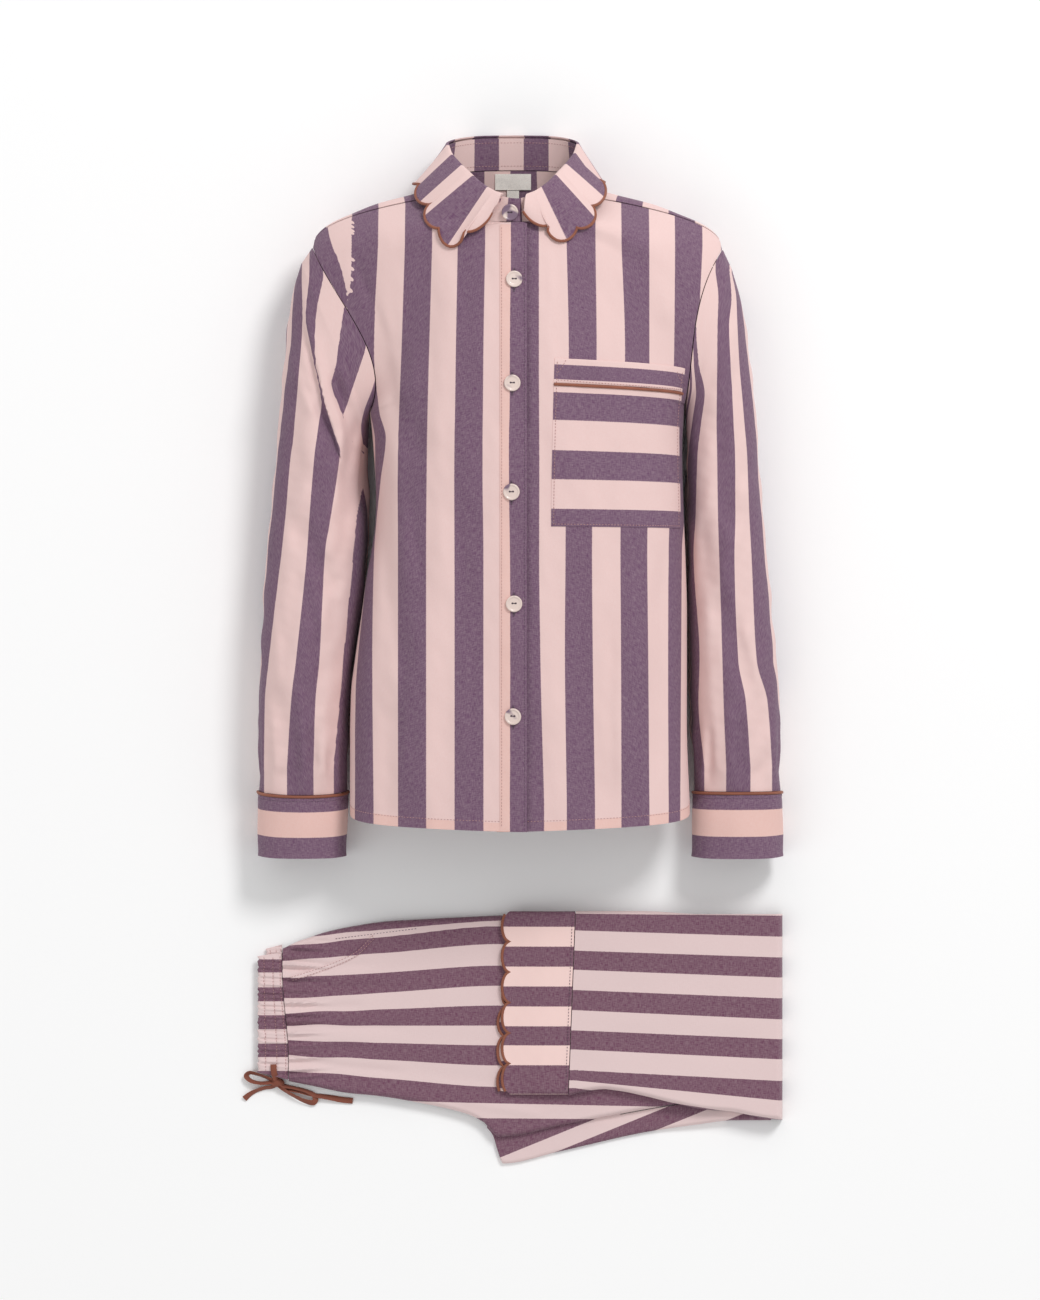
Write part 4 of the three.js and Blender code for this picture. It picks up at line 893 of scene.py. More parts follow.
# Where the yoke's back seam meets each armhole, as a turn behind its top
YOKE_TURN = {"right": 0.203, "left": 0.2}
SEAM_GAP = 0.4
HEM_BACK_Y = -178
UNDERARM_BACK_Y = 245


def back_rise(share, round_):
    """The share of its edge's height that the back has at a place across: none on its flat middle."""
    e = np.clip((np.abs(share) - FLAT_SHARE) / (1 - FLAT_SHARE), 0, 1)
    return mix(e * e, 1 - np.sqrt(1 - e * e), round_)


def back_edge(name, down):
    side = SIDES[name]
    turn = mix(YOKE_TURN[name], 1, np.minimum(down, 1))
    upper = armhole(side, -turn)
    underarm = 3 * SEAM_GAP * smooth(1 - 6 * (down - 1))
    lower = side_edge(side, np.maximum(down, 1))
    lower[..., 2] -= 3 * SEAM_GAP + underarm
    return np.where(down[..., None] < 1, upper, lower)


def make_back():
    down = front_rows(70)[:, None]
    even = np.linspace(-1, 1, 110)[None, :]
    share = np.sin(even * math.pi / 2) * 0.35 + even * 0.65
    edges = [back_edge(name, down) for name in ("right", "left")]
    edge = np.where((share < 0)[..., None], edges[0], edges[1])
    x = mix(edges[0][..., 0], edges[1][..., 0], (1 + share) / 2)
    gap = 2.5 * SEAM_GAP
    middle_y = np.where(
        down <= 1,
        mix(YOKE_SEAM_Y - gap, UNDERARM_BACK_Y, down),
        mix(UNDERARM_BACK_Y, HEM_BACK_Y, down - 1),
    )
    y = mix(middle_y, edge[..., 1] - np.where(down == 0, gap, 0), np.abs(share) ** 3)
    rise = back_rise(share, smooth(down))
    # Creases show on the free sides of the back, and what lies on the floor stays flat
    creases = 1.6 * ripple(x * 0.5, y * 0.3, 30, 21) + 0.6 * ripple(x, y * 0.4, 14, 22)
    z = edge[..., 2] * rise + smooth(rise * 5) * (1 - smooth(rise * 1.6 - 0.6)) * creases
    grid = points(x, y, np.maximum(z, 0))
    across = arc(grid, 1)
    middle = across[:, across.shape[1] // 2][:, None]
    piece = shell(
        "shirt_back_cloth",
        grid,
        with_uv(across - middle + stripe_width() / 2, -arc(grid, 0)),
        material("shirt_cotton"),
        sign=-1,
    )
    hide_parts("shirt_back")


# The yoke's columns, from the armhole (0) and the neck's side (1) to the centre back (2): how far
# its curve reaches up and dips from its seam, where it lands, and where it ends on the floor
YOKE = Stations(
    "along reach dip heel bottom_x",
    [0, 2, 9, -6, 198.5],
    [0.3, 9, 16, -14, 166],
    [0.54, 17, 19, -14, 142],
    [0.78, 19, 22, -13, 121],
    [1, 24, 25, -14, 101],
    [1.2, 2, 26, -22, 90],
    [1.4, -6, 20, -30, 77],
    [1.6, -14, 10, -35, 58],
    [1.8, -18, 4, -38, 31],
    [2, -18, 2.5, -38, 0],
)


def yoke_column(name, along_, down):
    """One column of the yoke, from the shoulder or neck seam over to the floor behind."""
    side = SIDES[name]
    if along_ > 1:
        top = neck_line(side, np.array(mix(SHOULDER_TURN, 0, along_ - 1)), "seam")
    else:
        x = mix(side_edge(side, np.array(0.0))[0], middle_of(side, np.array(0.0))[0], along_)
        top = front_at(side, np.array(0.0), x) + np.array([0, 3 * SEAM_GAP, 4 * SEAM_GAP * (along_ - 1)])
    shape = {key: float(YOKE.read(key, along_)) for key in YOKE.names[1:]}
    end = armhole(side, np.array(-YOKE_TURN[name]))
    middle_x = NECK_X + side["sign"] * shape["bottom_x"]
    x = mix(end[0], middle_x, smooth(along_ * 3)) if along_ < 1 else middle_x
    bottom = np.array([x, YOKE_SEAM_Y, end[2] * back_rise(x / end[0], 0)])
    first = np.array([mix(top[0], x, 0.3), top[1] + shape["reach"], max(top[2] - shape["dip"], 0)])
    second = np.array([mix(top[0], x, 0.7), top[1] + shape["heel"], bottom[2] + (5.6 if along_ == 0 else 0)])
    t = np.asarray(down)[:, None]
    back = 1 - t
    return back**3 * top + 3 * back**2 * t * first + 3 * back * t * t * second + t**3 * bottom


def make_yoke():
    stations = np.concatenate([np.linspace(0, 1, 44), np.linspace(1, 2, 40)[1:]])
    down = np.linspace(0, 1, 40)
    right = [yoke_column("right", a, down) for a in stations]
    left = [yoke_column("left", a, down) for a in stations[:-1]]
    grid = np.array(right + left[::-1])
    across = grid[:, :1, 0] * 1.04 + 0.35 * (grid[..., 0] - grid[:, :1, 0])
    piece = shell(
        "shirt_yoke_cloth",
        grid,
        with_uv(across + stripe_width() * 0.35, arc(grid, 1)),
        material("shirt_cotton"),
        sign=1,
    )
    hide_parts("shirt_yoke")


SLEEVES = {
    "right": Stations(
        "row out_x out_y in_x in_y top bottom",
        [1, -219, 386, -150.8, 226, 99, 8],
        [2, -228, 354, -151, 209, 97, 3],
        [3, -235, 297, -152, 180, 94, 0],
        [4, -243, 214, -153.5, 141, 92, 0],
        [5, -248, 149, -155, 104, 90, 0],
        [6, -254, 91, -158, 64, 88, 0],
        [7, -258, 25, -165, 14, 86, 0],
        [8, -261, -51, -172, -51, 82, 0],
        [9, -262, -100, -173, -100, 76, 0],
        [10, -260, -140, -173, -140, 66, 1],
    ),
    "left": Stations(
        "row out_x out_y in_x in_y top bottom",
        [1, 212, 381, 165.6, 233, 99, 8],
        [2, 222, 345, 167, 212, 97, 3],
        [3, 230, 292, 168, 184, 94, 0],
        [4, 237, 229, 169, 146, 92, 0],
        [5, 241, 163, 169.5, 106, 90, 0],
        [6, 246, 104, 170, 66, 88, 0],
        [7, 252, 42, 171, 21, 86, 0],
        [8, 258.5, -31, 172.5, -34, 82, 0],
        [9, 260.5, -92, 173.5, -92, 76, 0],
        [10, 259.5, -138, 174.5, -138, 66, 1],
    ),
}
CUFFS = {
    "right": {"y": -142, "dip": 5, "out_x": -263, "in_x": -171.6, "end_out_x": -262, "end_in_x": -174.4},
    "left": {"y": -142.5, "dip": 1, "out_x": 262.8, "in_x": 173, "end_out_x": 263.4, "end_in_x": 172},
}
CUFF_TOP = 67
CUFF_END_Y = -212


def section(outer, inner, top, bottom, angle):
    """Places on a closed section that lies on the floor, with a round top and a flattened bottom."""
    sine = np.sin(angle)
    middle = (top + bottom) / 2
    share = (1 - np.cos(angle)) / 2
    under = -(middle - bottom + 1.5) * np.abs(np.minimum(sine, 0)) ** 0.75
    z = middle + np.where(sine >= 0, (top - middle) * sine, under)
    x, y = mix(outer[0], inner[0], share), mix(outer[1], inner[1], share)
    return points(x, y, np.maximum(z, np.minimum(bottom, 0.5 * bottom)))


def cuff_ring(cuff, share, shrink, angle):
    """A ring of a cuff, from its seam (share 0) to its end (1), drawn in by shrink."""
    out_x = mix(cuff["out_x"], cuff["end_out_x"], share)
    in_x = mix(cuff["in_x"], cuff["end_in_x"], share)
    to_in = np.sign(in_x - out_x)
    outer = (out_x + to_in * shrink, 0)
    inner = (in_x - to_in * shrink, 0)
    ring = section(outer, inner, CUFF_TOP - 4 * share - shrink, shrink, angle)
    seam = cuff["y"] - cuff["dip"] * np.maximum(0, np.sin(angle))
    ring[..., 1] = mix(seam, CUFF_END_Y + 2.5 * np.cos(angle) ** 4, share)
    return ring


# The lapped fold at the front of the wearer's right sleeve: its two edges, as pixels (x, y)
LAP_EDGE = Stations(
    "y x",
    [262, 300],
    [293, 304],
    [316, 305.5],
    [345, 311.5],
    [362, 315.5],
    [400, 323.7],
    [450, 341],
    [472, 356],
)
LAP_FALL = Stations(
    "y x",
    [262, 352],
    [306, 344],
    [345, 340],
    [364, 338],
    [382, 332.5],
    [402, 338],
    [416, 343],
    [450, 352],
    [472, 358],
)
LAP_HEIGHT = 6


def lap_height(x, y):
    """A raised fold that laps over the cloth on its outer side and falls away on its inner side."""
    px, py = x + PIXEL_X, PIXEL_Y - y
    fade = smooth((py - 268) / 46) * smooth((478 - py) / 50)
    from_edge = px - LAP_EDGE.read("x", py)
    past_fall = px - LAP_FALL.read("x", py)
    rise = smooth(from_edge / 1.6 + 0.5) - 0.45 * bump((from_edge + 3.5) / 4.5)
    fall = smooth(-past_fall / 9 + 0.5)
    hollow = -0.9 * bump((past_fall - 9) / 9) * smooth((py - 330) / 50)
    return LAP_HEIGHT * fade * (rise * fall + hollow)


def make_sleeve(name):
    side = SIDES[name]
    turns = np.arange(120) / 120
    angle = 2 * math.pi * turns
    first = armhole(side, np.where(turns < 0.5, 2 * turns, 2 * turns - 2))
    first[:, 0] += side["sign"] * SEAM_GAP * 2.5
    rows = np.concatenate([np.linspace(1, 4, 60, endpoint=False), np.linspace(4, 9.65, 110)])[:, None]
    table = SLEEVES[name]
    places = {key: table.read(key, rows) for key in table.names[1:]}
    outer, inner = (places["out_x"], places["out_y"]), (places["in_x"], places["in_y"])
    body = section(outer, inner, places["top"], places["bottom"], angle)
    free = smooth(np.sin(angle) * 2.5) * smooth((rows - 1.2) / 1.5)
    x, y = body[..., 0].copy(), body[..., 1].copy()
    wrinkles = fold_height(SLEEVE_FOLDS, x, y) + 1.4 * ripple(x, y * 0.5, 30, 31)
    wrinkles = wrinkles + 0.5 * ripple(x, y * 0.7, 12, 32)
    if name == "right":
        wrinkles = wrinkles + lap_height(x, y)
    body[..., 2] += free * wrinkles
    # Low on its inner side the sleeve spreads under the body's side
    under = bump((angle - 1.22 * np.pi) / 0.5) * smooth((rows - 2.6) / 1.2) * smooth((9.4 - rows) / 0.8)
    body[..., 0] -= side["sign"] * 9 * under
    if name == "right":
        # Its inner top is drawn away from the body below the lapped fold, so that a gap shows
        inner_top = smooth(-np.cos(angle) * 1.5 - 0.2) * smooth(np.sin(angle) * 3 + 0.6)
        body[..., 0] += side["sign"] * 9 * inner_top * bump((y - 178) / 42)
    # Gathers where the sleeve is sewn into its cuff, and soft waves down its hidden sides
    near = smooth((rows - 8.2) / 1.3)
    out = normals_of(body, True) * -side["sign"]
    wave = near * 1.1 * np.sin(angle * 13 + 1.5 * np.sin(3 * angle)) * smooth((9.65 - rows) * 3 + 0.25)
    hidden = (1 - smooth(np.sin(angle) * 2.5)) * smooth((body[..., 2] - 6) / 14) * smooth((rows - 1.5) / 1.5)
    body += out * (wave + hidden * 1.2 * ripple(y * 0.6, angle * 26, 30, 33))[..., None]
    body[..., 2] = np.maximum(body[..., 2], 0.0)
    start = [mix(first, body[0], t) for t in np.linspace(0, 1, 12, endpoint=False)]
    end = cuff_ring(CUFFS[name], 0, 1.6, angle)
    end[:, 1] += 1.8
    finish = [mix(body[-1], end, t) for t in np.linspace(0, 1, 6)[1:]]
    grid = np.concatenate([start, body, finish])
    phase = sleeve_phase(grid, name)
    down = -arc(grid, 0)
    down = np.concatenate([down, down[:, :1]], axis=1)
    piece = shell(
        f"sleeve_{name}_cloth",
        grid,
        with_uv(phase, down),
        material("shirt_cotton"),
        sign=-side["sign"],
        closed=True,
    )
    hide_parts(f"sleeve_{name}")


def sleeve_phase(grid, name):
    """The place across the stripes round a sleeve, with one more column than the grid: lines from the
    photograph on the upper half, and then on by length to the seam underneath."""
    count = grid.shape[1]
    half = count // 2
    # The seam runs along the underside, three quarters of the way round
    seam = 3 * count // 4
    lines_at = line_reader(SLEEVE_LINES[name])
    rising = 1 if name == "right" else -1
    ring = np.concatenate([grid, grid[:, :1]], axis=1)
    length = arc(ring, 1)
    phase = np.empty(length.shape)
    for i, s in enumerate(length):
        # The upper half, with its places and lines turned to rise from its outer to its inner side
        x = rising * (ring[i, : half + 1, 0] + PIXEL_X)
        y = PIXEL_Y - ring[i, : half + 1, 1]
        over = s[: half + 1]
        lines = rising * lines_at(y)[::rising]
        numbers = (1 + np.arange(len(lines))) * stripe_width()
        top = np.array([np.interp(x[j], lines[:, j], numbers) for j in range(half + 1)])
        furthest = np.maximum.accumulate(x)
        s_first, s_last = np.interp(lines[0], furthest, over), np.interp(lines[-1], furthest, over)
        beyond = x > lines[-1]
        top = np.where(x < lines[0], numbers[0] + over - s_first, top)
        if name == "right":
            # The last purple stripe closes to a point, so past its middle the place runs back
            turn = numbers[-2] - TIP_BLUNT
            top = np.where(x > lines[-2], turn + np.minimum(x - lines[-2], lines[-1] - x), top)
            slow = 1 - 0.6 * bump((y - 395) / 50)
            top = np.where(beyond, turn - (over - s_last) * slow, top)
        else:
            top = np.where(beyond, numbers[-1] + over - s_last, top)
        phase[i, : half + 1] = top
        phase[i, half : seam + 1] = top[-1] - rising * (s[half : seam + 1] - s[half])
        phase[i, seam + 1 :] = top[0] - (s[-1] - s[seam + 1 :])
    return phase


CUFF_SEWN = 5.5
CUFF_STRIPE_SHIFT = 17


def make_cuff(name):
    cuff = CUFFS[name]
    sign = -SIDES[name]["sign"]
    angle = 2 * math.pi * np.arange(120) / 120
    depth = cuff["y"] - CUFF_END_Y
    shares = np.minimum(1, np.linspace(1.8, 66.5, 40) / depth)
    grid = np.array([cuff_ring(cuff, s, 0, angle) for s in shares])
    drop = (shares * depth)[:, None]
    out = normals_of(grid, True) * sign
    press = 0.5 * ripple(angle[None, :] * 40, drop * 0.8, 34, 41) * smooth(np.sin(angle) * 3 + 1)
    hem = 0.5 * bump((drop - 66) / 3) - 0.4 * bump((drop - CUFF_SEWN) / 1.2)
    grid = grid + out * (press + hem)[..., None]
    grid[..., 2] = np.maximum(grid[..., 2], 0)
    ring = np.concatenate([grid, grid[:, :1]], axis=1)
    phase = np.broadcast_to(drop + stripe_width() - CUFF_STRIPE_SHIFT, ring.shape[:2])
    piece = shell(
        f"cuff_{name}_cloth",
        grid,
        with_uv(phase, arc(ring, 1)),
        material("doubled_cotton"),
        1.4,
        sign,
        closed=True,
    )
    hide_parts(f"cuff_{name}")
    line = cuff_ring(cuff, 0, 0.2, angle)
    line[:, 2] = np.maximum(line[:, 2], PIPING_RADIUS)
    piping = binding_tube(f"cuff_piping_{name}_cord", line, closed=True, up=(0, 1, 0))
    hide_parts(f"cuff_piping_{name}")
    row = np.argmin(np.abs(drop[:, 0] - CUFF_SEWN))
    upper_half = ring[row, : len(angle) // 2 + 1]
    thread = stitches(f"cuff_{name}_stitches", [(upper_half, (0, 0, 1))], material("purple_thread"))


# Collar


def around(place, line):
    """Points round the neck, from the right front end (negative) over the centre back to the left."""
    place = np.asarray(place, float)
    right = neck_line(SIDES["right"], np.abs(place), line)
    left = neck_line(SIDES["left"], np.abs(place), line)
    return np.where((place < 0)[..., None], right, left)


def roll_length(place):
    """Length along the roll line from the centre back, negative on the wearer's right."""
    fine = np.linspace(-10, 10, 401)
    line = around(fine, "roll")
    length = path_length(line)
    return np.interp(place, fine, length - length[len(fine) // 2])


# The collar's stripes are a little narrower, and this far from the centre back
COLLAR_STRIPE = 25.3
COLLAR_SHIFT = 42.3


def collar_phase(place):
    return (roll_length(place) + COLLAR_SHIFT)[:, None] * stripe_width() / COLLAR_STRIPE


COLLAR_CLOTH = 1.2


def make_stand():
    place = np.linspace(-9.2, 9.9, 150)
    t = np.linspace(0.025, 0.99, 16)[None, :, None]
    grid = mix(around(place, "seam")[:, None], around(place, "roll")[:, None], t)
    piece = shell(
        "collar_stand_cloth",
        grid,
        with_uv(collar_phase(place), arc(grid, 1)),
        material("shirt_cotton"),
        COLLAR_CLOTH,
        sign=-1,
    )
    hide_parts("collar_stand")
    inner = grid + normals_of(grid, False) * COLLAR_CLOTH
    back = np.abs(place) < 7.5
    inward = np.stack([NECK_X - grid[..., 0], 470 - grid[..., 1], np.full(grid.shape[:2], 20.0)], axis=-1)
    rows = [(inner[back, 13], inward[back, 13]), (inner[back, 2], inward[back, 2])]
    thread = stitches("collar_stand_stitches", rows, material("pink_thread"))


# The cusps of the leaf's edge: place round the neck, x, y, z, and how far the scallop after it swells
LEAF_CUSPS = [
    (-8.5, -27, 450, 148, 10),
    (-7.9, -54, 417, 146, 17),
    (-7.1, -80, 420, 130, 11),
    (-6, -86.5, 445.5, 112.5, 11),
    (-4.4, -99, 466, 78, 7),
    (-3.1, -99, 468, 38, 7),
    (-2.2, -84, 459, 5, 7),
    (-1.5, -62, 456, 0, 7),
    (-0.8, -34, 455, 0, 5),
    (-0.1, -6, 455, 0, 5),
    (0.7, 22, 455, 0, 5),
    (1.5, 48, 456, 0, 5),
    (2.2, 68, 460, 5, 5),
    (3.2, 84, 469, 42, 7),
    (4.5, 79, 470, 78, 10),
    (6, 70, 443, 119.5, 11),
    (7.1, 56, 421, 131, 15),
    (7.9, 27, 423, 142, 9),
    (8.5, 2, 450, 150, 9),
]
COLLAR_FOLD = 2.8
LEAF_LIFT = 3.3


def leaf_edge():
    """The leaf's scalloped edge: for each point, its place round the neck and where it is."""
    edge = []
    for i, (start, end) in enumerate(zip(LEAF_CUSPS, LEAF_CUSPS[1:])):
        chord = np.array([end[1] - start[1], end[2] - start[2]])
        out = np.array([chord[1], -chord[0]]) / np.linalg.norm(chord)
        low, high = (0.3, 1) if i == 0 else (0, 0.7) if i == len(LEAF_CUSPS) - 2 else (0, 1)
        shares = low + (high - low) * (1 - np.cos(np.pi * np.linspace(0, 1, 13)[:-1])) / 2
        for t in shares:
            swell = start[4] * (4 * t * (1 - t)) ** 0.6
            front = 1 if start[3] > 1 or end[3] > 1 else 0
            edge.append(
                (
                    mix(start[0], end[0], t),
                    mix(start[1], end[1], t) - out[0] * swell,
                    mix(start[2], end[2], t) - out[1] * swell,
                    mix(start[3], end[3], t) * front,
                )
            )
    return np.array(edge)


def leaf_grid():
    """Places round the neck, and the leaf's points from its fold to its edge at each."""
    edge = leaf_edge()
    place, tip = edge[:, 0], edge[:, 1:]
    seam, roll = around(place, "seam"), around(place, "roll")
    lap = np.where(place < 0, SIDES["right"]["lap"], SIDES["left"]["lap"])
    roll[:, 2] += lap * lap_share(np.abs(place))
    up = unit(roll - seam)
    start = roll + up * COLLAR_FOLD
    out = tip - roll
    out = unit(out - up * np.sum(out * up, axis=1, keepdims=True))
    shoulder = roll + up * COLLAR_FOLD * 0.7 + out * 3
    rows = [start, mix(start, shoulder, 0.35) + up * 0.35, mix(start, shoulder, 0.7) + up * 0.35, shoulder]
    for t in np.linspace(0, 1, 15)[1:]:
        p = mix(shoulder, tip, t)
        p[:, 2] = mix(shoulder[:, 2], tip[:, 2], 1 - (1 - t) ** 1.7)
        floor = np.zeros(len(p))
        for name in ("right", "left"):
            side = SIDES[name]
            in_front = (np.abs(place) > 5) & (p[:, 1] < 452) & (np.abs(p[:, 0] - NECK_X) > 24)
            mine = in_front & ((place < 0) == (name == "right"))
            if mine.any():
                floor[mine] = front_over(side, p[mine, 0], p[mine, 1]) + LEAF_LIFT
        swell = p[:, 2] + 9 * t * (1 - t) * smooth(tip[:, 2] / 40)
        swell = swell + 0.35 * t * ripple(p[:, 0], p[:, 1], 26, 51)
        p[:, 2] = np.maximum(swell, floor)
        rows.append(p)
    return place, np.stack(rows, axis=1)


def make_leaf():
    place, grid = leaf_grid()
    piece = shell(
        "collar_leaf_cloth",
        grid,
        with_uv(collar_phase(place), arc(grid, 1)),
        material("shirt_cotton"),
        COLLAR_CLOTH,
    )
    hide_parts("collar_leaf")
    rim, inside = grid[:, -1], grid[:, -2]
    ahead = unit(np.gradient(rim, axis=0))
    inward = inside - rim
    inward = unit(inward - ahead * np.sum(inward * ahead, axis=1, keepdims=True))
    path = rim - inward * 0.9
    path[:, 2] = np.maximum(path[:, 2] - 0.5, PIPING_RADIUS + 0.05)
    binding = binding_tube("collar_binding_cord", path, sides=8)
    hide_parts("collar_binding")


# Placket, pocket, buttons and labels


PATCH_CLOTH = 0.8
PATCH_LIFT = 0.1
PATCH_EDGE = 1.5


def patch(name, side, x, y, phase, down, finish):
    """A piece of cloth laid on a front, whose edges press down onto it."""
    flat = points(x, y, 0)
    from_edge = np.minimum.reduce(
        [arc(flat, 1), arc(flat[:, ::-1], 1)[:, ::-1], arc(flat, 0), arc(flat[::-1], 0)[::-1]]
    )
    swell = PATCH_LIFT + PATCH_CLOTH * (0.55 + 0.45 * smooth(from_edge / PATCH_EDGE))
    grid, _ = on_front(side, x, y, swell)
    return shell(name, grid, with_uv(phase, down), material(finish), PATCH_CLOTH, sign=-side["sign"])


PLACKET = {"in_x": -20.0, "out_x": 6.6, "stitch_x": -18.2, "edge_stitch_x": 4.6, "stitch_lift": 0.95}


def make_placket():
    side = SIDES["right"]
    y = np.linspace(422.5, -180.4, 240)[:, None]
    x = np.linspace(PLACKET["in_x"], PLACKET["out_x"], 22)[None, :]
    x, y = np.broadcast_arrays(x, y)
    flat = points(x, y, 0)
    phase = phase_grid(flat, line_reader(RIGHT_FRONT_LINES), 1, stripe_width())
    piece = patch("front_placket_cloth", side, x, y, phase, y, "doubled_cotton")
    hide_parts("front_placket")
    line_y = np.linspace(420, -176, 200)
    lift = np.full(200, PLACKET["stitch_lift"])
    inner = on_front(side, np.full(200, PLACKET["stitch_x"]), line_y, lift)
    outer = on_front(side, np.full(200, PLACKET["edge_stitch_x"]), line_y, lift)
    inner_thread = stitches("front_placket_stitches", [inner], material("pink_thread"))
    outer_thread = stitches("front_placket_edge_stitches", [outer], material("purple_thread"))


POCKET = Stations(
    "y left_x right_x", [119, 31, 160], [122, 31, 160], [218, 32.5, 158.5], [258, 33.5, 161], [289, 34.5, 165]
)
POCKET_LOW = 122
POCKET_HIGH = 285
POCKET_PIPING_Y = 259.8


def pocket_tilt(level):
    """How far a level line of the pocket falls from its left end to its right."""
    return mix(1.6, 9.4, (np.asarray(level, float) - POCKET_LOW) / (POCKET_HIGH - POCKET_LOW))


def pocket_ends(level):
    return POCKET.read("left_x", level), POCKET.read("right_x", level)


def pocket_patch(name, low, high, rows):
    """Part of the pocket, from its lower to its upper edge, whose columns lie closer to its right end
    where the shirt's side turns down."""
    across = np.linspace(0, 1, 60)[None, :]
    level = np.linspace(low, high, rows)[:, None]
    x = mix(*pocket_ends(level), 1 - (1 - across) ** 1.8)
    y = level + pocket_tilt(level) * (0.5 - across)
    lines = PIXEL_Y - np.array(POCKET_LINES)
    numbers = (2 + np.arange(len(lines))) * stripe_width()
    inner = np.broadcast_to(level - 2, x.shape)
    outside = np.maximum(lines[-1] - inner, 0) - np.maximum(inner - lines[0], 0)
    phase = np.interp(-inner, -lines, numbers) + outside
    return patch(name, SIDES["left"], x, y, phase, x, "shirt_cotton")


def pocket_line(xs, ys, lift=1.0):
    return on_front(SIDES["left"], np.asarray(xs, float), np.asarray(ys, float), np.full(len(xs), lift))


def make_pocket():
    body = pocket_patch("chest_pocket_cloth", POCKET_LOW, 258.4, 90)
    band = pocket_patch("chest_pocket_band_cloth", 261.2, POCKET_HIGH, 20)
    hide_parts("chest_pocket")
    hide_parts("chest_pocket_band")
    t = np.linspace(0, 1, 60)
    left_end, right_end = pocket_ends(POCKET_PIPING_Y)
    x = mix(left_end, right_end - 0.5, 1 - (1 - t) ** 1.5)
    y = POCKET_PIPING_Y + pocket_tilt(POCKET_PIPING_Y) * (0.5 - t)
    piping = binding_tube("chest_pocket_piping_cord", pocket_line(x, y, 1.5)[0])
    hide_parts("chest_pocket_piping")
    # Sewing down both ends, along the bottom, over the piping, and across the two upper corners
    inset = 2.4
    levels = np.linspace(POCKET_LOW + 1, POCKET_HIGH - 2, 60)
    left_x, right_x = pocket_ends(levels)
    lines = [
        pocket_line(left_x + inset, levels + pocket_tilt(levels) * 0.48),
        pocket_line(right_x - inset, levels - pocket_tilt(levels) * 0.48),
    ]
    across = np.linspace(0.02, 0.98, 50)
    for level, lift in ((POCKET_LOW, inset), (POCKET_PIPING_Y + 4.2, 0)):
        fall = pocket_tilt(level) * (0.5 - across)
        lines.append(pocket_line(mix(*pocket_ends(level), across), level + lift + fall))
    corners = [
        pocket_line([37, 42.5, 45.5], [275, 282, 288]),
        pocket_line([162.5, 158, 156], [266, 272, 278]),
    ]
    thread = stitches("chest_pocket_stitches", lines, material("pink_thread"))
    corner = stitches("chest_pocket_corner_stitches", corners, material("pink_thread"))


# Number and place of each button, and half of its section: radius and height
BUTTONS = [(1, -10, 435), (2, -6, 368), (3, -8, 265), (4, -8.4, 157), (5, -6.2, 46), (6, -6.7, -66)]
BUTTON_PROFILE = [
    (0.0, 0.0),
    (7.4, 0.0),
    (8.1, 0.5),
    (8.3, 1.3),
    (8.1, 2.1),
    (7.5, 2.55),
    (6.8, 2.5),
    (6.2, 2.0),
    (5.6, 1.75),
    (4.5, 1.7),
    (0.0, 1.7),
]
# The knots of thread in a button's two holes, which are this far from its middle, and as a section
HOLE_OFFSET = 1.7
HOLE_HEIGHT = 1.66
HOLE_PROFILE = [(0, 0), (0.9, 0.0), (0.95, 0.12), (0.6, 0.3), (0, 0.34)]


def turned_to(out):
    return Vector((0, 0, 1)).rotation_difference(Vector(out)).to_matrix()


def lathe(profile, sides):
    """Points of a profile turned round Z, whose first and last radius are 0."""
    verts = [(0, 0, profile[0][1])]
    for r, h in profile[1:-1]:
        for angle in 2 * np.pi * np.arange(sides) / sides:
            verts.append((r * math.cos(angle), r * math.sin(angle), h))
    return verts + [(0, 0, profile[-1][1])]


def make_buttons():
    for number, x, y in BUTTONS:
        if number == 1:
            # The top button lies on the collar's stand, between its seam and its roll line
            out = np.array([0, -0.19, 0.98])
            base = np.array([x, y, mix(141.5, 146, (y - NECK_FRONT_Y) / 23.5)]) + out * 0.7
        else:
            grid, outs = on_front(SIDES["right"], *(np.array([float(v)]) for v in (x, y, 1.3)))
            base, out = grid[0], outs[0]
        make_button(number, base, turned_to(out))
        if number > 1:
            make_buttonhole(number, x, y)


def make_button(number, base, spin):
    """A button, the thread in its two holes, and the thread between them."""

    def placed(verts, shift=(0, 0, 0)):
        return [np.array(spin @ (Vector(v) + Vector(shift))) + base for v in verts]

    piece = add_mesh(
        f"button_{number}_pearl",
        placed(lathe(BUTTON_PROFILE, 48)),
        turned_faces(len(BUTTON_PROFILE) - 2, 48),
        material("pearly_plastic"),
        smooth_angle=50,
    )
    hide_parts(f"button_{number}")
    verts, faces = [], []
    for hole in (-1, 1):
        faces += turned_faces(len(HOLE_PROFILE) - 2, 16, len(verts))
        verts += placed(lathe(HOLE_PROFILE, 16), (hole * HOLE_OFFSET, 0.1 * number, HOLE_HEIGHT))
    add_mesh(f"button_{number}_thread", verts, faces, material("dark_thread"))
    path = placed([(s * 2.2, 0.1 * number, 2.0 - 0.12 * s * s) for s in np.linspace(-1, 1, 9)])
    tube(f"button_{number}_thread_bar", path, 0.42, material("dark_thread"), "button", sides=8)


def make_buttonhole(number, x, y):
    """The worked slot behind a button: an oval ring of close thread."""
    angle = np.linspace(0, 2 * math.pi, 49)[:-1]
    ox = x + 1.1 * np.cos(angle)
    oy = y - 0.8 + 11.5 * np.sin(angle)
    path, _ = on_front(SIDES["right"], ox, oy, np.full(48, 1.05))
    tube(f"buttonhole_{number}", path, 0.55, material("purple_thread"), "striped_cotton", True, sides=6)


# Left, right, upper and lower edge
LABELS = {"neck_label": (-25, 11, 478, 462), "size_tab": (-13, -1, 461.3, 453.5)}


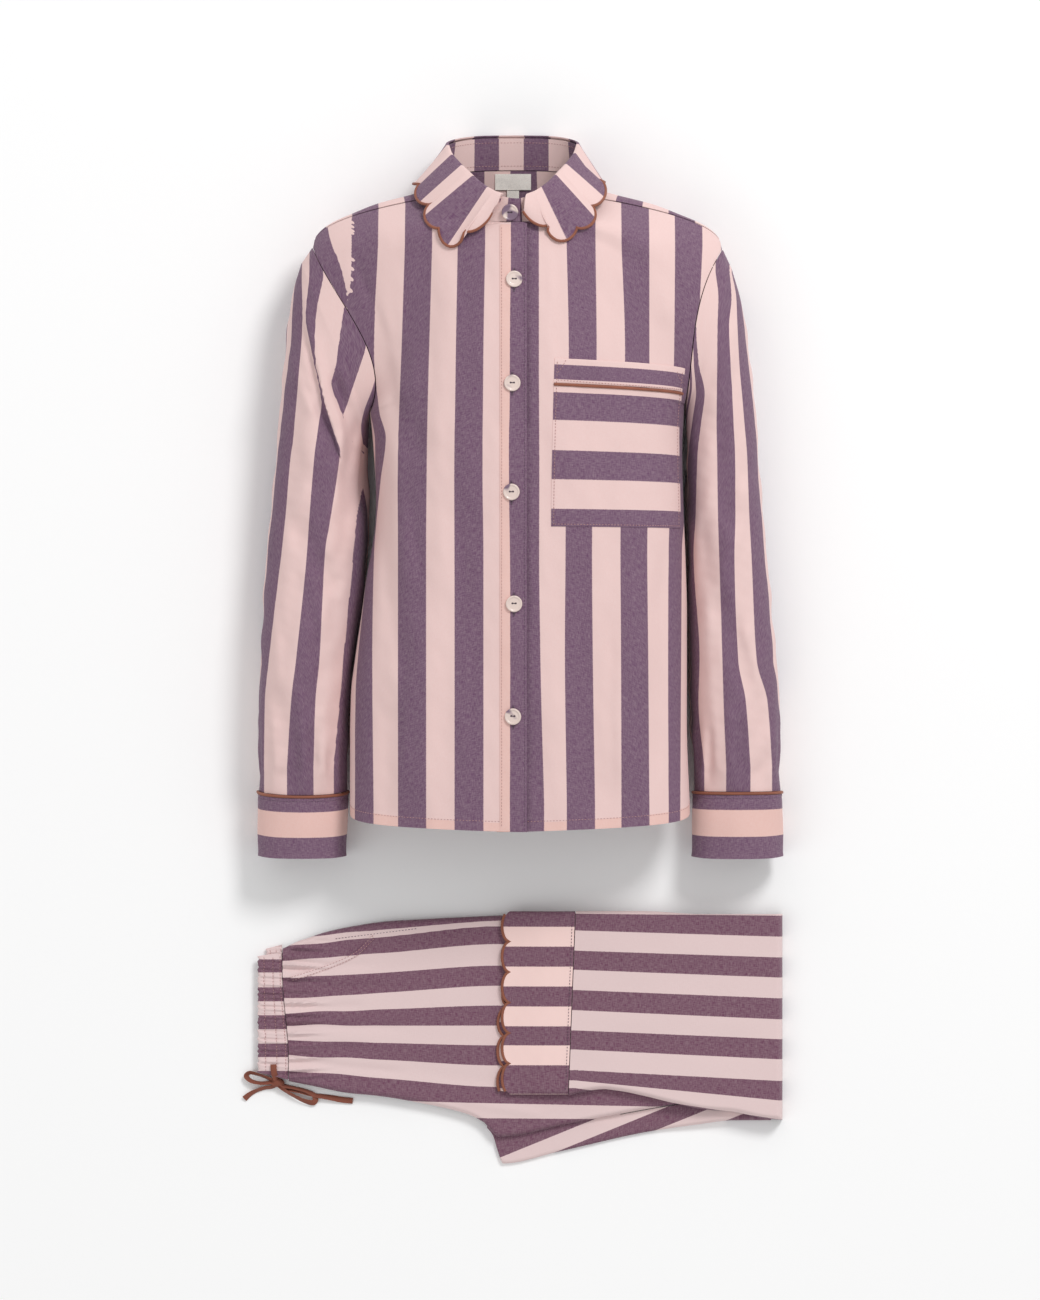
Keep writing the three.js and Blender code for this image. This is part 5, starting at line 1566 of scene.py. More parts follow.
def make_labels():
    column = yoke_column("left", 2, np.linspace(0, 1, 200))
    order = np.argsort(column[:, 1])
    for name, (left, right, top, low) in LABELS.items():
        y = np.linspace(top, low, 14)[:, None]
        x = np.linspace(left, right, 18)[None, :]
        height = np.interp(y, column[order, 1], column[order, 2]) + CLOTH + 1.7
        bow = 0.5 * np.sin((x - left) / (right - left) * math.pi) * (y - low) / (top - low)
        grid = points(x, y, height + bow)
        piece = shell(
            f"{name}_tape",
            grid,
            with_uv(np.broadcast_to(x, grid.shape[:2]), np.broadcast_to(y, grid.shape[:2])),
            material("label_tape"),
            0.5,
            sign=-1,
        )
        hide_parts(name)
        if name == "neck_label":
            lines = [over_line(line) for line in (grid[1, 1:-1], grid[1:-1, 1], grid[1:-1, -2])]
            stitches("neck_label_stitches", lines, material("label_tape"))


# Trousers

LEG_HIGH = Stations(
    "x y",
    [-240, -304],
    [-233, -300.5],
    [-219, -292],
    [-194, -283],
    [-165, -277],
    [-135, -272.6],
    [-100, -270.5],
    [-15, -266.5],
    [60, -264.5],
    [264, -267],
)
LEG_LOW = Stations(
    "x y",
    [-240, -431],
    [-232.5, -433],
    [-208, -438],
    [-173, -445],
    [-142, -448],
    [-100, -455],
    [-55, -465.5],
    [-37, -474],
    [-21, -489],
    [48, -476],
    [146, -458],
    [264, -441],
)
TURNED_LOW = Stations(
    "x y",
    [-20, -445],
    [48, -447.5],
    [66, -443.5],
    [86, -441],
    [104, -443],
    [128, -448],
    [156, -455],
    [185, -461],
    [214, -463.5],
    [244, -470],
    [264, -472],
)
UNDER_LOW = Stations(
    "x y top",
    [-34, -479, 4.6],
    [-27, -488, 4.6],
    [-22.5, -503, 4.6],
    [-17, -516, 4.6],
    [39, -504, 4.8],
    [126, -484.5, 4.8],
    [176, -477, 8.5],
    [215, -472.5, 11.3],
    [262, -472.4, 11.3],
)
LEG_EDGE_Z = 5.2
LEG_TOP_Z = 12
TURNED_EDGE_Z = 12.7
TURNED_TOP_Z = 22
FOLD_X = 263.7
LEG_FOLDS = [
    (-236, -322, -150, -316, 5, -1.4),
    (-236, -341, -130, -338, 5, -1.6),
    (-236, -359, -160, -358, 5, -1.4),
    (-236, -378, -120, -380, 5, -1.6),
    (-236, -396, -150, -401, 5, -1.4),
    (-236, -413, -120, -424, 5, -1.6),
    (-140, -300, -50, -300, 14, 1.2),
    (-120, -420, -10, -440, 12, -1.2),
    (80, -300, 240, -306, 14, 1.1),
    (90, -390, 250, -398, 14, -1.2),
    (-60, -452, 20, -466, 5, 1.1),
    (-90, -350, 0, -352, 12, 0.6),
]

# The lines between stripes of each trouser piece: pixel rows at a few pixel columns
LEG_LINES = Stations(
    "x a b c d e f g h i j k l",
    [288, 938, 946, 961, 979, 999, 1013.6, 1026.4, 1041, 1055.5, 1071.8, 1089, 1110],
    [390, 929.5, 936.5, 953, 973, 993, 1010, 1026.4, 1044, 1061, 1080, 1101.5, 1118],
    [499, 921, 926.4, 944.5, 966.4, 986.4, 1006.4, 1026.4, 1046.4, 1066.4, 1088.2, 1104.5, 1119.5],
    [568, 919, 926.4, 944.5, 966.4, 986.4, 1006.4, 1026.4, 1046.4, 1066.4, 1086.5, 1106, 1120],
    [663, 919, 926.4, 944.5, 966.4, 986.4, 1006.4, 1026.4, 1046.4, 1066.4, 1086, 1108, 1121],
)
TURNED_LINES = Stations(
    "x a b c d e f g h i j k l",
    [575, 914, 930.5, 951, 970, 990.5, 1010.6, 1031, 1050, 1071, 1081, 1088.5, 1099],
    [783, 916, 937, 958, 978, 999, 1020, 1040, 1060, 1082, 1101.5, 1121, 1140],
)
HEM_BAND_LINES = [906, 927, 947, 967, 987, 1007, 1027, 1046, 1066, 1095]
WAISTBAND_LINES = [960, 973, 988, 1002, 1016, 1030, 1044.5, 1058, 1072, 1088]


def along_lines(x, y, lines, first):
    """The place across stripes that run along X, from a table of lines or one list of them."""
    width = trouser_width()
    px, py = x + PIXEL_X, PIXEL_Y - y
    if isinstance(lines, Stations):
        rows = np.stack([lines.read(name, px) for name in lines.names[1:]], axis=-1)
    else:
        rows = np.broadcast_to(np.array(lines, float), (*px.shape, len(lines)))
    numbers = first + np.arange(rows.shape[-1])
    flat_rows = rows.reshape(-1, rows.shape[-1])
    flat_y = py.ravel()
    inside = np.array([np.interp(v, r, numbers) for v, r in zip(flat_y, flat_rows)]).reshape(py.shape)
    return inside * width + np.minimum(py - rows[..., 0], 0) + np.maximum(py - rows[..., -1], 0)


def edge_round(inset, depth=5.0):
    """The share of its height that a folded edge has at a distance from the edge."""
    t = np.clip(inset / depth, 0, 1)
    return np.sqrt(np.clip(1 - (1 - t) ** 2, 0, 1))


def cross_places(low, high, count):
    """Places from a low to a high edge, closer together near both edges."""
    t = (1 - np.cos(np.linspace(0, np.pi, count))) / 2
    t = mix(np.linspace(0, 1, count), t, 0.75)
    return low + (high - low) * t


def waist_seam(y):
    return mix(-239, -232.8, smooth((-321 - y) / 90))


def band_seam(y):
    return mix(48.5, 55.7, (y + 446) / 184)


def turned_high(x):
    return mix(-262, -265, smooth((x - 120) / 60))


def gathers(x, y):
    """Small gathers that fan out from the waistband."""
    near = smooth((-176 - x) / 50)
    fan = (y + 366) * (1 + (x + 238) * 0.0012)
    wave = np.sin(2 * np.pi * fan / 11.5 + 1.4 * np.sin(fan / 9)) + 0.5 * np.sin(2 * np.pi * fan / 6.3 + 2)
    return near * 1.6 * wave


def make_leg_top():
    x = np.concatenate([np.linspace(-232, -100, 110), np.linspace(-98, 252, 120)])[:, None]
    y = np.array([cross_places(LEG_LOW.read("y", v), LEG_HIGH.read("y", v), 110) for v in x[:, 0]])
    low, high = LEG_LOW.read("y", x), LEG_HIGH.read("y", x)
    inset = np.minimum(y - low, high - y)
    seam = np.broadcast_to(x, y.shape).copy()
    start = waist_seam(y) + SEAM_GAP / 2 + 0.4
    share = np.clip((x + 232) / 20, 0, 1)
    seam = np.where(x < -212, mix(start, -212, share), seam)
    wrinkles = fold_height(LEG_FOLDS, seam, y) + gathers(seam, y) + 0.35 * ripple(seam * 0.5, y, 30, 61)
    top = LEG_TOP_Z + wrinkles * smooth(inset / 8)
    grid = points(seam, y, mix(LEG_EDGE_Z, top, edge_round(inset)))
    drawn_in = 1.6 * smooth((-120 - seam) / 100) * ripple(seam * 0.7, y, 44, 62)
    phase = along_lines(seam, y + drawn_in, LEG_LINES, 1)
    piece = shell("trouser_leg_top_cloth", grid, with_uv(phase, arc(grid, 0)), material("trouser_cotton"))
    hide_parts("trouser_leg_top")
    # The line of stitches along the side seam
    side_x = np.linspace(-186, -102, 60)
    side_y = mix(-290, -279.5, (side_x + 186) / 84)
    side_z = LEG_TOP_Z + fold_height(LEG_FOLDS, side_x, side_y) + 0.1
    sewn = stitches(
        "trouser_side_stitches", [(points(side_x, side_y, side_z), (0, 0, 1))], material("purple_thread")
    )
    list(make_trouser_pocket())


def make_turned_leg():
    t = np.linspace(0, 1, 120)
    ends = FOLD_X - 6 + 6 * np.sin(np.linspace(0, np.pi / 2, 16)[1:])
    rows = []
    for k, x in enumerate(np.concatenate([mix(52, FOLD_X - 6, t), ends])):
        y = cross_places(TURNED_LOW.read("y", x), turned_high(x), 90)
        inset = np.minimum(y - y[0], y[-1] - y)
        left = band_seam(y) + SEAM_GAP
        px = mix(left, FOLD_X - 6, t[k]) if k < len(t) else np.full(len(y), x)
        soft = smooth(inset / 8)
        wrinkles = fold_height(LEG_FOLDS, px, y) + 0.4 * ripple(px * 0.5, y, 34, 62)
        height = mix(TURNED_EDGE_Z, TURNED_TOP_Z + wrinkles * soft, edge_round(inset))
        past = np.clip((px - (FOLD_X - 6)) / 6, 0, 1)
        height = mix(1.0, height, np.sqrt(np.clip(1 - past**2, 0, 1)))
        rows.append(points(px, y, height))
    grid = np.array(rows)
    phase = along_lines(grid[..., 0], grid[..., 1], TURNED_LINES, 2)
    piece = shell("trouser_leg_turned_cloth", grid, with_uv(phase, arc(grid, 0)), material("trouser_cotton"))
    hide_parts("trouser_leg_turned")


# The under leg's stripes lean: their lines, in pixels, across the way that they run
UNDER_ACROSS = (0.377, 0.926)
UNDER_LINES = [1242, 1262, 1278, 1295.5, 1313]


def make_leg_under():
    x = np.linspace(-33, 252, 150)[:, None]
    low = UNDER_LOW.read("y", x)
    thick = (x > 100) * 1.0
    high = LEG_LOW.read("y", x) + mix(1.7, -0.8, thick)
    t = (np.linspace(0, 1, 26) ** 1.3)[None, :]
    y = mix(low, high, t)
    z = UNDER_LOW.read("top", x) * mix(0.35, 1, edge_round(y - low, 3.5))
    grid = points(x, y, z + 0.15 * ripple(x, y, 18, 63) * smooth((y - low) / 5))
    across = UNDER_ACROSS[0] * (x + PIXEL_X) + UNDER_ACROSS[1] * (PIXEL_Y - y)
    phase = np.interp(across, UNDER_LINES, (2 + np.arange(len(UNDER_LINES))) * trouser_width())
    both = np.concatenate([grid[:, ::-1], points(x, y, 0.0)], axis=1)
    phases = np.concatenate([phase[:, ::-1], phase], axis=1)
    piece = shell(
        "trouser_leg_under_cloth",
        both,
        with_uv(phases, np.broadcast_to(x, phases.shape)),
        material("trouser_cotton"),
        0.6,
        sign=-1,
    )
    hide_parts("trouser_leg_under")


# The section of the layers inside the pile, as x and z: along the floor, round the fold, back over
# the turned leg, in between the legs, and back over the lower leg
LAYERS = [
    (-228, 0.6),
    *((x, 0) for x in (-226, -80, -44, -15, 48, 146, 258)),
    *((259.6, 1.5), (259.8, 8), (259.8, 11.8), (259.7, 12.6), (259, 15.4), (256, 18.2)),
    *((x, 18.4) for x in (185, 156, 128, 104, 86, 66, 48)),
    *((26, 17.6), (9, 15.4), (8, 14.2), (9, 12.6)),
    *((x, 12.6) for x in (48, 66, 86, 104, 128, 156, 185, 253.4)),
    (253.6, 11),
    *((x, 9.6) for x in (253.4, 146, 48)),
    *((-15, 8.9), (-44, 8.8), (-80, 8.8), (-165, 8.4), (-226, 8.2), (-228, 7.4)),
]
# How far in from the pile's edge its rows are, and how far they pinch to the middle of their layers
LAYER_EDGE = [(17, 0.5), (9, 0.35), (6.4, 0.22), (5.4, 0.1), (5.0, 0)]


def make_layers():
    """The folded layers inside the pile, whose edges show as folds between its top and its floor."""
    corners = np.array(LAYERS + LAYERS[:1], float)
    loop = np.concatenate([np.linspace(a, b, 5)[:-1] for a, b in zip(corners, corners[1:])])
    x, z = loop[:, 0], loop[:, 1]
    upper = smooth((z - 11.9) / 0.6)
    low = mix(LEG_LOW.read("y", x), TURNED_LOW.read("y", x), upper)
    high = mix(LEG_HIGH.read("y", x), turned_high(x), upper)
    middle = np.where(upper > 0.5, 16, 4.8)
    # The edge goes in and out once for each layer of cloth
    layer = np.cos(2 * np.pi * z / 4.2)
    rows = []
    for inset, pinch in LAYER_EDGE:
        rows.append(points(x, low + inset + layer * (pinch < 0.3), mix(z, middle, pinch)))
    for t in np.linspace(0.04, 0.96, 30):
        rows.append(points(x, mix(low + 5, high - 5, t), z))
    for inset, pinch in LAYER_EDGE[::-1]:
        rows.append(points(x, high - inset - layer * (pinch < 0.3), mix(z, middle, pinch)))
    grid = np.array(rows)
    count = len(x)
    verts = grid.reshape(-1, 3)
    faces = []
    for i in range(len(rows) - 1):
        a, b = i * count, (i + 1) * count
        for j in range(count):
            n = (j + 1) % count
            faces.append([a + j, a + n, b + n, b + j])
    faces.append(list(range(count))[::-1])
    faces.append([(len(rows) - 1) * count + j for j in range(count)])
    uvs = [(-verts[v][1] / 1000, verts[v][0] / 1000) for face in faces for v in face]
    piece = add_mesh("trouser_layers_cloth", verts, faces, material("trouser_cotton"), uvs)
    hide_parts("trouser_layers")


SCALLOP = {"start_y": -262, "pitch": 30.6, "cusp_x": -8.6, "depth": 8}


def scallop_x(y):
    """The hem's scalloped edge at places along it."""
    share = np.mod((SCALLOP["start_y"] - y) / SCALLOP["pitch"], 1)
    return SCALLOP["cusp_x"] - SCALLOP["depth"] * np.sqrt(np.clip(1 - (2 * share - 1) ** 2, 0, 1))


def under_hem_x(y):
    place = smooth((-330 - y) / 50)
    return np.minimum(scallop_x(y + 3) + mix(1.5, -4.5, place), -9)


def hem_top(x):
    return mix(17.6, TURNED_TOP_Z, smooth((x + 16) / 44))


def hem_rows(low, high):
    """Rows along a hem, close together at the cusps between its scallops."""
    y = []
    for lobe in range(7):
        for share in (1 - np.cos(np.linspace(0, np.pi, 15)[:-1])) / 2:
            y.append(SCALLOP["start_y"] - SCALLOP["pitch"] * (lobe + share))
    y = np.array(y)
    y = y[(y > low) & (y < high)]
    return np.sort(np.concatenate([y, [low + 0.2, high - 0.2]]))


def make_hem_band():
    low, high = -446, -262
    y = hem_rows(low, high)[:, None]
    t = np.linspace(0, 1, 26)[None, :]
    x = mix(scallop_x(y), band_seam(y) - SEAM_GAP, t)
    inset = np.minimum(y - low, high - y)
    top = hem_top(x) + 0.25 * ripple(x, y, 22, 64)
    groove = -0.5 * bump((x - band_seam(y) + 1) / 1.2)
    grid = points(x, y, mix(TURNED_EDGE_Z + 2.6, top, edge_round(inset)) + groove)
    phase = along_lines(x, y, HEM_BAND_LINES, 2)
    piece = shell("hem_band_cloth", grid, with_uv(phase, x), material("facing_cotton"), sign=-1)
    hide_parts("hem_band")
    line_y = np.linspace(low + 4, high - 4, 120)
    line_x = band_seam(line_y) - 3
    line = points(line_x, line_y, hem_top(line_x) + 0.25)
    sewn = stitches("hem_band_stitches", [(line, (0, 0, 1))], material("purple_thread"))
    edge_y = hem_rows(low + 3, high - 3)
    path = points(scallop_x(edge_y) - 1.4, edge_y, 17.0)
    binding = binding_tube("hem_binding_cord", path, sides=8)
    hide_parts("hem_binding")


def make_hem_under():
    y = hem_rows(-443, -266)[:, None]
    t = np.linspace(0, 1, 12)[None, :]
    x = mix(under_hem_x(y), 5.0, t)
    grid = points(x, y, LEG_TOP_Z + 2 + 0 * x)
    phase = along_lines(x, y, HEM_BAND_LINES, 2) + 4
    piece = shell("hem_band_under_cloth", grid, with_uv(phase, x), material("facing_cotton"), sign=-1)
    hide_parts("hem_band_under")
    path = points(under_hem_x(y[:, 0]) - 1.4, y[:, 0], LEG_TOP_Z + 1.95)
    binding = binding_tube("hem_binding_under_cord", path, sides=8)
    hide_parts("hem_binding_under")


WAISTBANDS = {
    "front": {"low": -424, "high": -307.5, "left": -263.7, "bottom": 5.9, "top": 11.2},
    "back": {"low": -417, "high": -300, "left": -255.5, "bottom": 0.0, "top": 5.3},
}
# The rows of stitching across the band, and how closely its points crowd to its upper edge
CHANNEL_SHARES = (0.25, 0.62, 0.93)
CROWDING = 1.15
BAND_DEPTH = 30


def make_waistband(name):
    """The elastic channel of the waist: a folded band, puffed between its rows of stitching and
    drawn in by small uneven gathers."""
    band = WAISTBANDS[name]
    flat_y = np.linspace(band["low"], band["high"], 260)[:, None]
    turn = np.linspace(-1, 1, 61)[None, :]
    share = np.abs(turn) ** CROWDING
    from_low = (flat_y - band["low"]) / (band["high"] - band["low"])
    y = flat_y + share * (4 * smooth(from_low * 4 - 3) - 7.5 * smooth(1 - from_low * 4))
    right = waist_seam(y) - SEAM_GAP / 2
    end = 1 - np.abs(2 * (y - band["low"]) / (band["high"] - band["low"]) - 1) ** 14
    gather = np.sin(2 * np.pi * y / 7.3 + 1.7 * np.sin(y / 8))
    gather = gather + 0.6 * np.sin(2 * np.pi * y / 4.1 + 2.3 * share)
    lean = 0.5 * gather * (1 - share)
    x = mix(band["left"] + 0.6 + lean, right, share)
    middle, half = (band["top"] + band["bottom"]) / 2, (band["top"] - band["bottom"]) / 2
    swell = edge_round(share * BAND_DEPTH, 5.5) * mix(0.5, 1, end)
    dips = sum(bump((share - at) * BAND_DEPTH / 1.1) for at in CHANNEL_SHARES)
    upper = middle + half * swell + (0.6 * gather - 0.9 * dips) * smooth(share * 6) * end
    lower = middle - half * swell + 0.15 * gather * smooth(share * 6)
    z = np.where(turn > 0, upper, np.maximum(lower, 0.0))
    grid = points(x, y, z)
    phase = along_lines(x, y, WAISTBAND_LINES, 2)
    cloth = with_uv(phase, arc(grid, 1))
    piece = shell(f"waistband_{name}_cloth", grid, cloth, material("trouser_cotton"), 0.8, sign=-1)
    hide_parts(f"waistband_{name}")
    half_count = turn.shape[1] // 2
    columns = [half_count + round(half_count * at ** (1 / CROWDING)) for at in CHANNEL_SHARES]
    rows = [over_line(grid[6:-6, column]) for column in columns]
    sewn = stitches(f"waistband_{name}_stitches", rows, material("pink_thread"))


POCKET_EDGE = Stations("x y", [-229, -332.5], [-194, -321], [-164, -307.5], [-147, -291])


def make_trouser_pocket():
    x = np.linspace(-229, -147, 90)[:, None]
    up = np.linspace(0, 5, 9)[None, :]
    px = x - up * 0.35
    y = POCKET_EDGE.read("y", x) + up
    roll = 0.7 * np.sqrt(np.clip(1 - (1 - up / 2.5) ** 2, 0, 1))
    height = LEG_TOP_Z + fold_height(LEG_FOLDS, px, y) + gathers(px, y) + 0.6 + roll
    grid = points(px, y, height)
    phase = along_lines(px, y, LEG_LINES, 1)
    cloth = with_uv(phase, arc(grid, 0))
    piece = shell("trouser_pocket_edge_cloth", grid, cloth, material("trouser_cotton"), 0.6)
    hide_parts("trouser_pocket_edge")
    rows = [over_line(grid[:, 1]), over_line(grid[:, 6])]
    sewn = stitches("trouser_pocket_stitches", rows, material("pink_thread"))
    return [piece, sewn]


# The drawstring's ways, from its buttonhole or its knot, in millimetres as in the part's source, with
# the degrees that its flat tape is turned about its way
DRAWSTRING = {
    "right": [
        [-247.6, -416, 12.7, 0], [-247.4, -421, 12.5, 0], [-246.8, -425.4, 11.2, 0],
        [-246, -428, 9.4, 0], [-245.2, -430.6, 7.4, 25], [-244.8, -432.6, 6.2, 40],
        [-249.6, -431.6, 4.8, 55], [-257, -428.6, 3.9, 62], [-265, -426, 3.3, 60],
        [-272, -424.8, 2.9, 48], [-275, -428, 2.6, 30], [-271, -432.5, 2.9, 48],
        [-262, -435, 3.3, 58], [-256, -434.9, 4, 58], [-250, -434.4, 4.6, 50],
        [-245, -436.2, 3.8, 45], [-249, -438.9, 2.6, 50], [-256, -440, 2.5, 52],
        [-264, -442.5, 2.5, 52], [-271, -446, 2.2, 38], [-277, -451, 1.2, 8],
    ],
    "left": [
        [-241.6, -434.6, 4.8, 40], [-237.3, -437.6, 4.2, 52], [-226, -440, 3.8, 58],
        [-214, -443.5, 3.5, 50], [-205.5, -449, 3, 22], [-207, -454.5, 3, 18],
        [-215, -453.6, 3.2, 42], [-226, -448.6, 3.6, 58], [-234, -444, 4, 58],
        [-240, -439.6, 4.2, 50], [-243, -436.6, 3.4, 45], [-238, -440.6, 2.6, 55],
        [-224, -443, 2.6, 58], [-208, -447, 2.4, 50], [-192, -449.5, 1.8, 28],
        [-178, -452, 1.2, 6], [-168, -453, 1, 0],
    ],
}
TAPE_WIDTH = 6.0
PATH_POINTS = 8


def smooth_path(places, count):
    """A smooth line through places, by centripetal Catmull-Rom spans."""
    p = np.array(places, float)
    p = np.vstack([2 * p[0] - p[1], p, 2 * p[-1] - p[-2]])
    line = []
    for i in range(1, len(p) - 2):
        a, b, c, d = p[i - 1], p[i], p[i + 1], p[i + 2]
        k1 = np.linalg.norm(b - a) ** 0.5
        k2 = k1 + np.linalg.norm(c - b) ** 0.5
        k3 = k2 + np.linalg.norm(d - c) ** 0.5
        for t in np.linspace(k1, k2, count, endpoint=i == len(p) - 3):
            a1 = (k1 - t) / k1 * a + t / k1 * b
            a2 = (k2 - t) / (k2 - k1) * b + (t - k1) / (k2 - k1) * c
            a3 = (k3 - t) / (k3 - k2) * c + (t - k2) / (k3 - k2) * d
            b1 = (k2 - t) / k2 * a1 + t / k2 * a2
            b2 = (k3 - t) / (k3 - k1) * a2 + (t - k1) / (k3 - k1) * a3
            line.append((k2 - t) / (k2 - k1) * b1 + (t - k1) / (k2 - k1) * b2)
    return np.array(line)


CORD_NODES = {
    "right": ("drawstring_exit", "drawstring_loop_right", "drawstring_tail_right"),
    "left": ("drawstring_loop_left", "drawstring_tail_left"),
}


def make_cord(name):
    ways = np.array(DRAWSTRING[name], float)
    path = smooth_path(ways[:, :3], PATH_POINTS)
    tilt = np.radians(np.interp(np.arange(len(path)) / PATH_POINTS, np.arange(len(ways)), ways[:, 3]))
    piece = tube(
        f"drawstring_{name}_tape",
        path,
        TAPE_WIDTH / 2,
        material("drawstring_tape"),
        "drawstring",
        sides=14,
        flatten=0.2,
        tilt=tilt,
    )
    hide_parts(*CORD_NODES[name])


def make_knot():
    """The knot of the bow: a small bun, with the ridges of a tape wrapped round the crossing."""
    centre = np.array([-243.4, -434.4, 4.0])
    half_x, half_y, half_z = 6.4, 4.6, 3.4
    rings, sides = 22, 36
    verts, faces = [], []
    for i in range(rings + 1):
        up = math.pi * i / rings
        for j in range(sides):
            turn = 2 * math.pi * j / sides
            ridge = 1 + 0.07 * math.cos(3 * (turn + 1.2 * math.cos(up))) * math.sin(up)
            x = half_x * ridge * math.sin(up) * math.cos(turn)
            y = half_y * ridge * math.sin(up) * math.sin(turn)
            verts.append(centre + np.array([x, y, half_z * math.cos(up)]))
    for i in range(rings):
        a, b = i * sides, (i + 1) * sides
        for j in range(sides):
            n = (j + 1) % sides
            faces.append([a + j, b + j, b + n, a + n])
    tape = material("drawstring_tape")
    knot = add_mesh("drawstring_knot_tape", verts, faces, tape, smooth_angle=60)
    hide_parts("drawstring_knot")


# Stage


# In metres: the camera frames the photograph at this height above the floor, from this far above it
CAMERA_DISTANCE = 12.0
FRAMED_HEIGHT = 0.06


def make_camera():
    data = bpy.data.cameras.new("camera")
    data.sensor_width = 36
    data.lens = data.sensor_width * CAMERA_DISTANCE / FRAME_HEIGHT
    data.clip_end = 30
    camera = bpy.data.objects.new("camera", data)
    camera.location = (0, 0, CAMERA_DISTANCE + FRAMED_HEIGHT)
    bpy.context.scene.collection.objects.link(camera)
    bpy.context.scene.camera = camera


def make_floor():
    mesh = bpy.data.meshes.new("floor")
    half = 6
    corners = [(-half, -half, 0), (half, -half, 0), (half, half, 0), (-half, half, 0)]
    mesh.from_pydata(corners, [], [(0, 1, 2, 3)])
    floor = bpy.data.objects.new("floor", mesh)
    # Just under the part, so that the two don't share a face
    floor.location.z = -0.0005
    bpy.context.scene.collection.objects.link(floor)
    paper, _, shader = new_material("white_paper")
    set_inputs(shader, Base_Color=linear("#FFFFFF"), Roughness=0.9, Specular_IOR_Level=0.1)
    mesh.materials.append(paper)


# Name, place and size in metres, and power in watts
LIGHTS = [
    ("key", (2.2, 3.4, 4.1), 1.7, 152),
    ("fill", (-2.4, -1.6, 3.6), 3.0, 20),
]


def make_lights():
    for name, place, size, power in LIGHTS:
        data = bpy.data.lights.new(name, "AREA")
        data.shape = "DISK"
        data.size = size
        data.energy = power
        lamp = bpy.data.objects.new(name, data)
        lamp.location = place
        lamp.rotation_euler = (-Vector(place)).to_track_quat("-Z", "Y").to_euler()
        bpy.context.scene.collection.objects.link(lamp)
    world = bpy.data.worlds.new("studio")
    world.use_nodes = True
    background = world.node_tree.nodes["Background"]
    background.inputs["Color"].default_value = (1, 1, 1, 1)
    background.inputs["Strength"].default_value = 0.6
    bpy.context.scene.world = world
    bpy.context.scene.view_settings.view_transform = "Standard"


# The add-on


class PyjamaSizes(bpy.types.PropertyGroup):
    shirt_stripe: FloatProperty(
        name="Shirt stripe",
        description="Width of one stripe of the shirt's cloth",
        default=0.0274,
        min=0.005,
        max=0.1,
        unit="LENGTH",
    )
    trouser_stripe: FloatProperty(
        name="Trouser stripe",
        description="Width of one stripe of the trousers' cloth",
        default=0.02,
        min=0.005,
        max=0.1,
        unit="LENGTH",
    )


def color_property(name, description, default):
    return StringProperty(name=name, description=f"{description}, as an sRGB hex colour", default=default)


class PyjamaColors(bpy.types.PropertyGroup):
    purple: color_property("Purple stripe", "The shirt's dark stripe", "#6A4865")
    pink: color_property("Pink stripe", "The shirt's pale stripe", "#E7C7C3")
    trouser_purple: color_property("Trouser purple", "The trousers' dark stripe", "#6D4259")
    trouser_pink: color_property("Trouser pink", "The trousers' pale stripe", "#E3CAC9")
    warm_pink: color_property("Doubled pink", "The pale stripe where the shirt's cloth is doubled", "#E6BDB4")
    double_pink: color_property("Hem band pink", "The pale stripe of the doubled hem band", "#F6D5CF")
    binding: color_property("Binding", "The bindings and pipings", "#8F543F")
    tape: color_property("Drawstring", "The drawstring's tape", "#824634")
    label: color_property("Label", "The neck label and size tab", "#FBF6EE")
    purple_thread: color_property("Purple thread", "The sewing thread that shows as dark", "#5E4659")
    pink_thread: color_property("Pink thread", "The sewing thread that shows on both stripes", "#BC908E")
    dark_thread: color_property("Dark thread", "The thread of the buttons", "#3E2A38")
    pearl: color_property("Button", "The buttons' cream", "#E3CFC6")
    pearl_shade: color_property("Button shade", "The buttons' purple-grey", "#7F677B")


class PYJAMA_OT_camera(bpy.types.Operator):
    """Set the camera straight above the set, at the photograph's framing"""

    bl_idname = "pyjama.camera"
    bl_label = "Camera"

    def execute(self, context):
        make_camera()
        return {"FINISHED"}


class PYJAMA_OT_drawstring(bpy.types.Operator):
    """Lay the two ends of the drawstring, with their loops and tails, and tie the knot"""

    bl_idname = "pyjama.drawstring"
    bl_label = "Drawstring"

    def execute(self, context):
        make_cord("right")
        make_cord("left")
        make_knot()
        return {"FINISHED"}


class PYJAMA_OT_fronts(bpy.types.Operator):
    """Make both fronts over the filled-out chest, with their creases and sewn hems"""

    bl_idname = "pyjama.fronts"
    bl_label = "Fronts"

    def execute(self, context):
        make_front("right")
        make_front("left")
        return {"FINISHED"}


class PYJAMA_OT_back(bpy.types.Operator):
    """Make the back, which lies on the floor, and the yoke over the shoulders"""

    bl_idname = "pyjama.back"
    bl_label = "Back and yoke"

    def execute(self, context):
        make_back()
        make_yoke()
        return {"FINISHED"}


class PYJAMA_OT_sleeves(bpy.types.Operator):
    """Make both sleeves, with the lapped fold of the right one"""

    bl_idname = "pyjama.sleeves"
    bl_label = "Sleeves"

    def execute(self, context):
        make_sleeve("right")
        make_sleeve("left")
        return {"FINISHED"}


class PYJAMA_OT_cuffs(bpy.types.Operator):
    """Make the cuffs, with their pipings and top stitching"""

    bl_idname = "pyjama.cuffs"
    bl_label = "Cuffs"

    def execute(self, context):
        make_cuff("right")
        make_cuff("left")
        return {"FINISHED"}


class PYJAMA_OT_collar(bpy.types.Operator):
    """Make the collar's stand and its scalloped, bound leaf"""

    bl_idname = "pyjama.collar"
    bl_label = "Collar"

    def execute(self, context):
        make_stand()
        make_leaf()
        return {"FINISHED"}


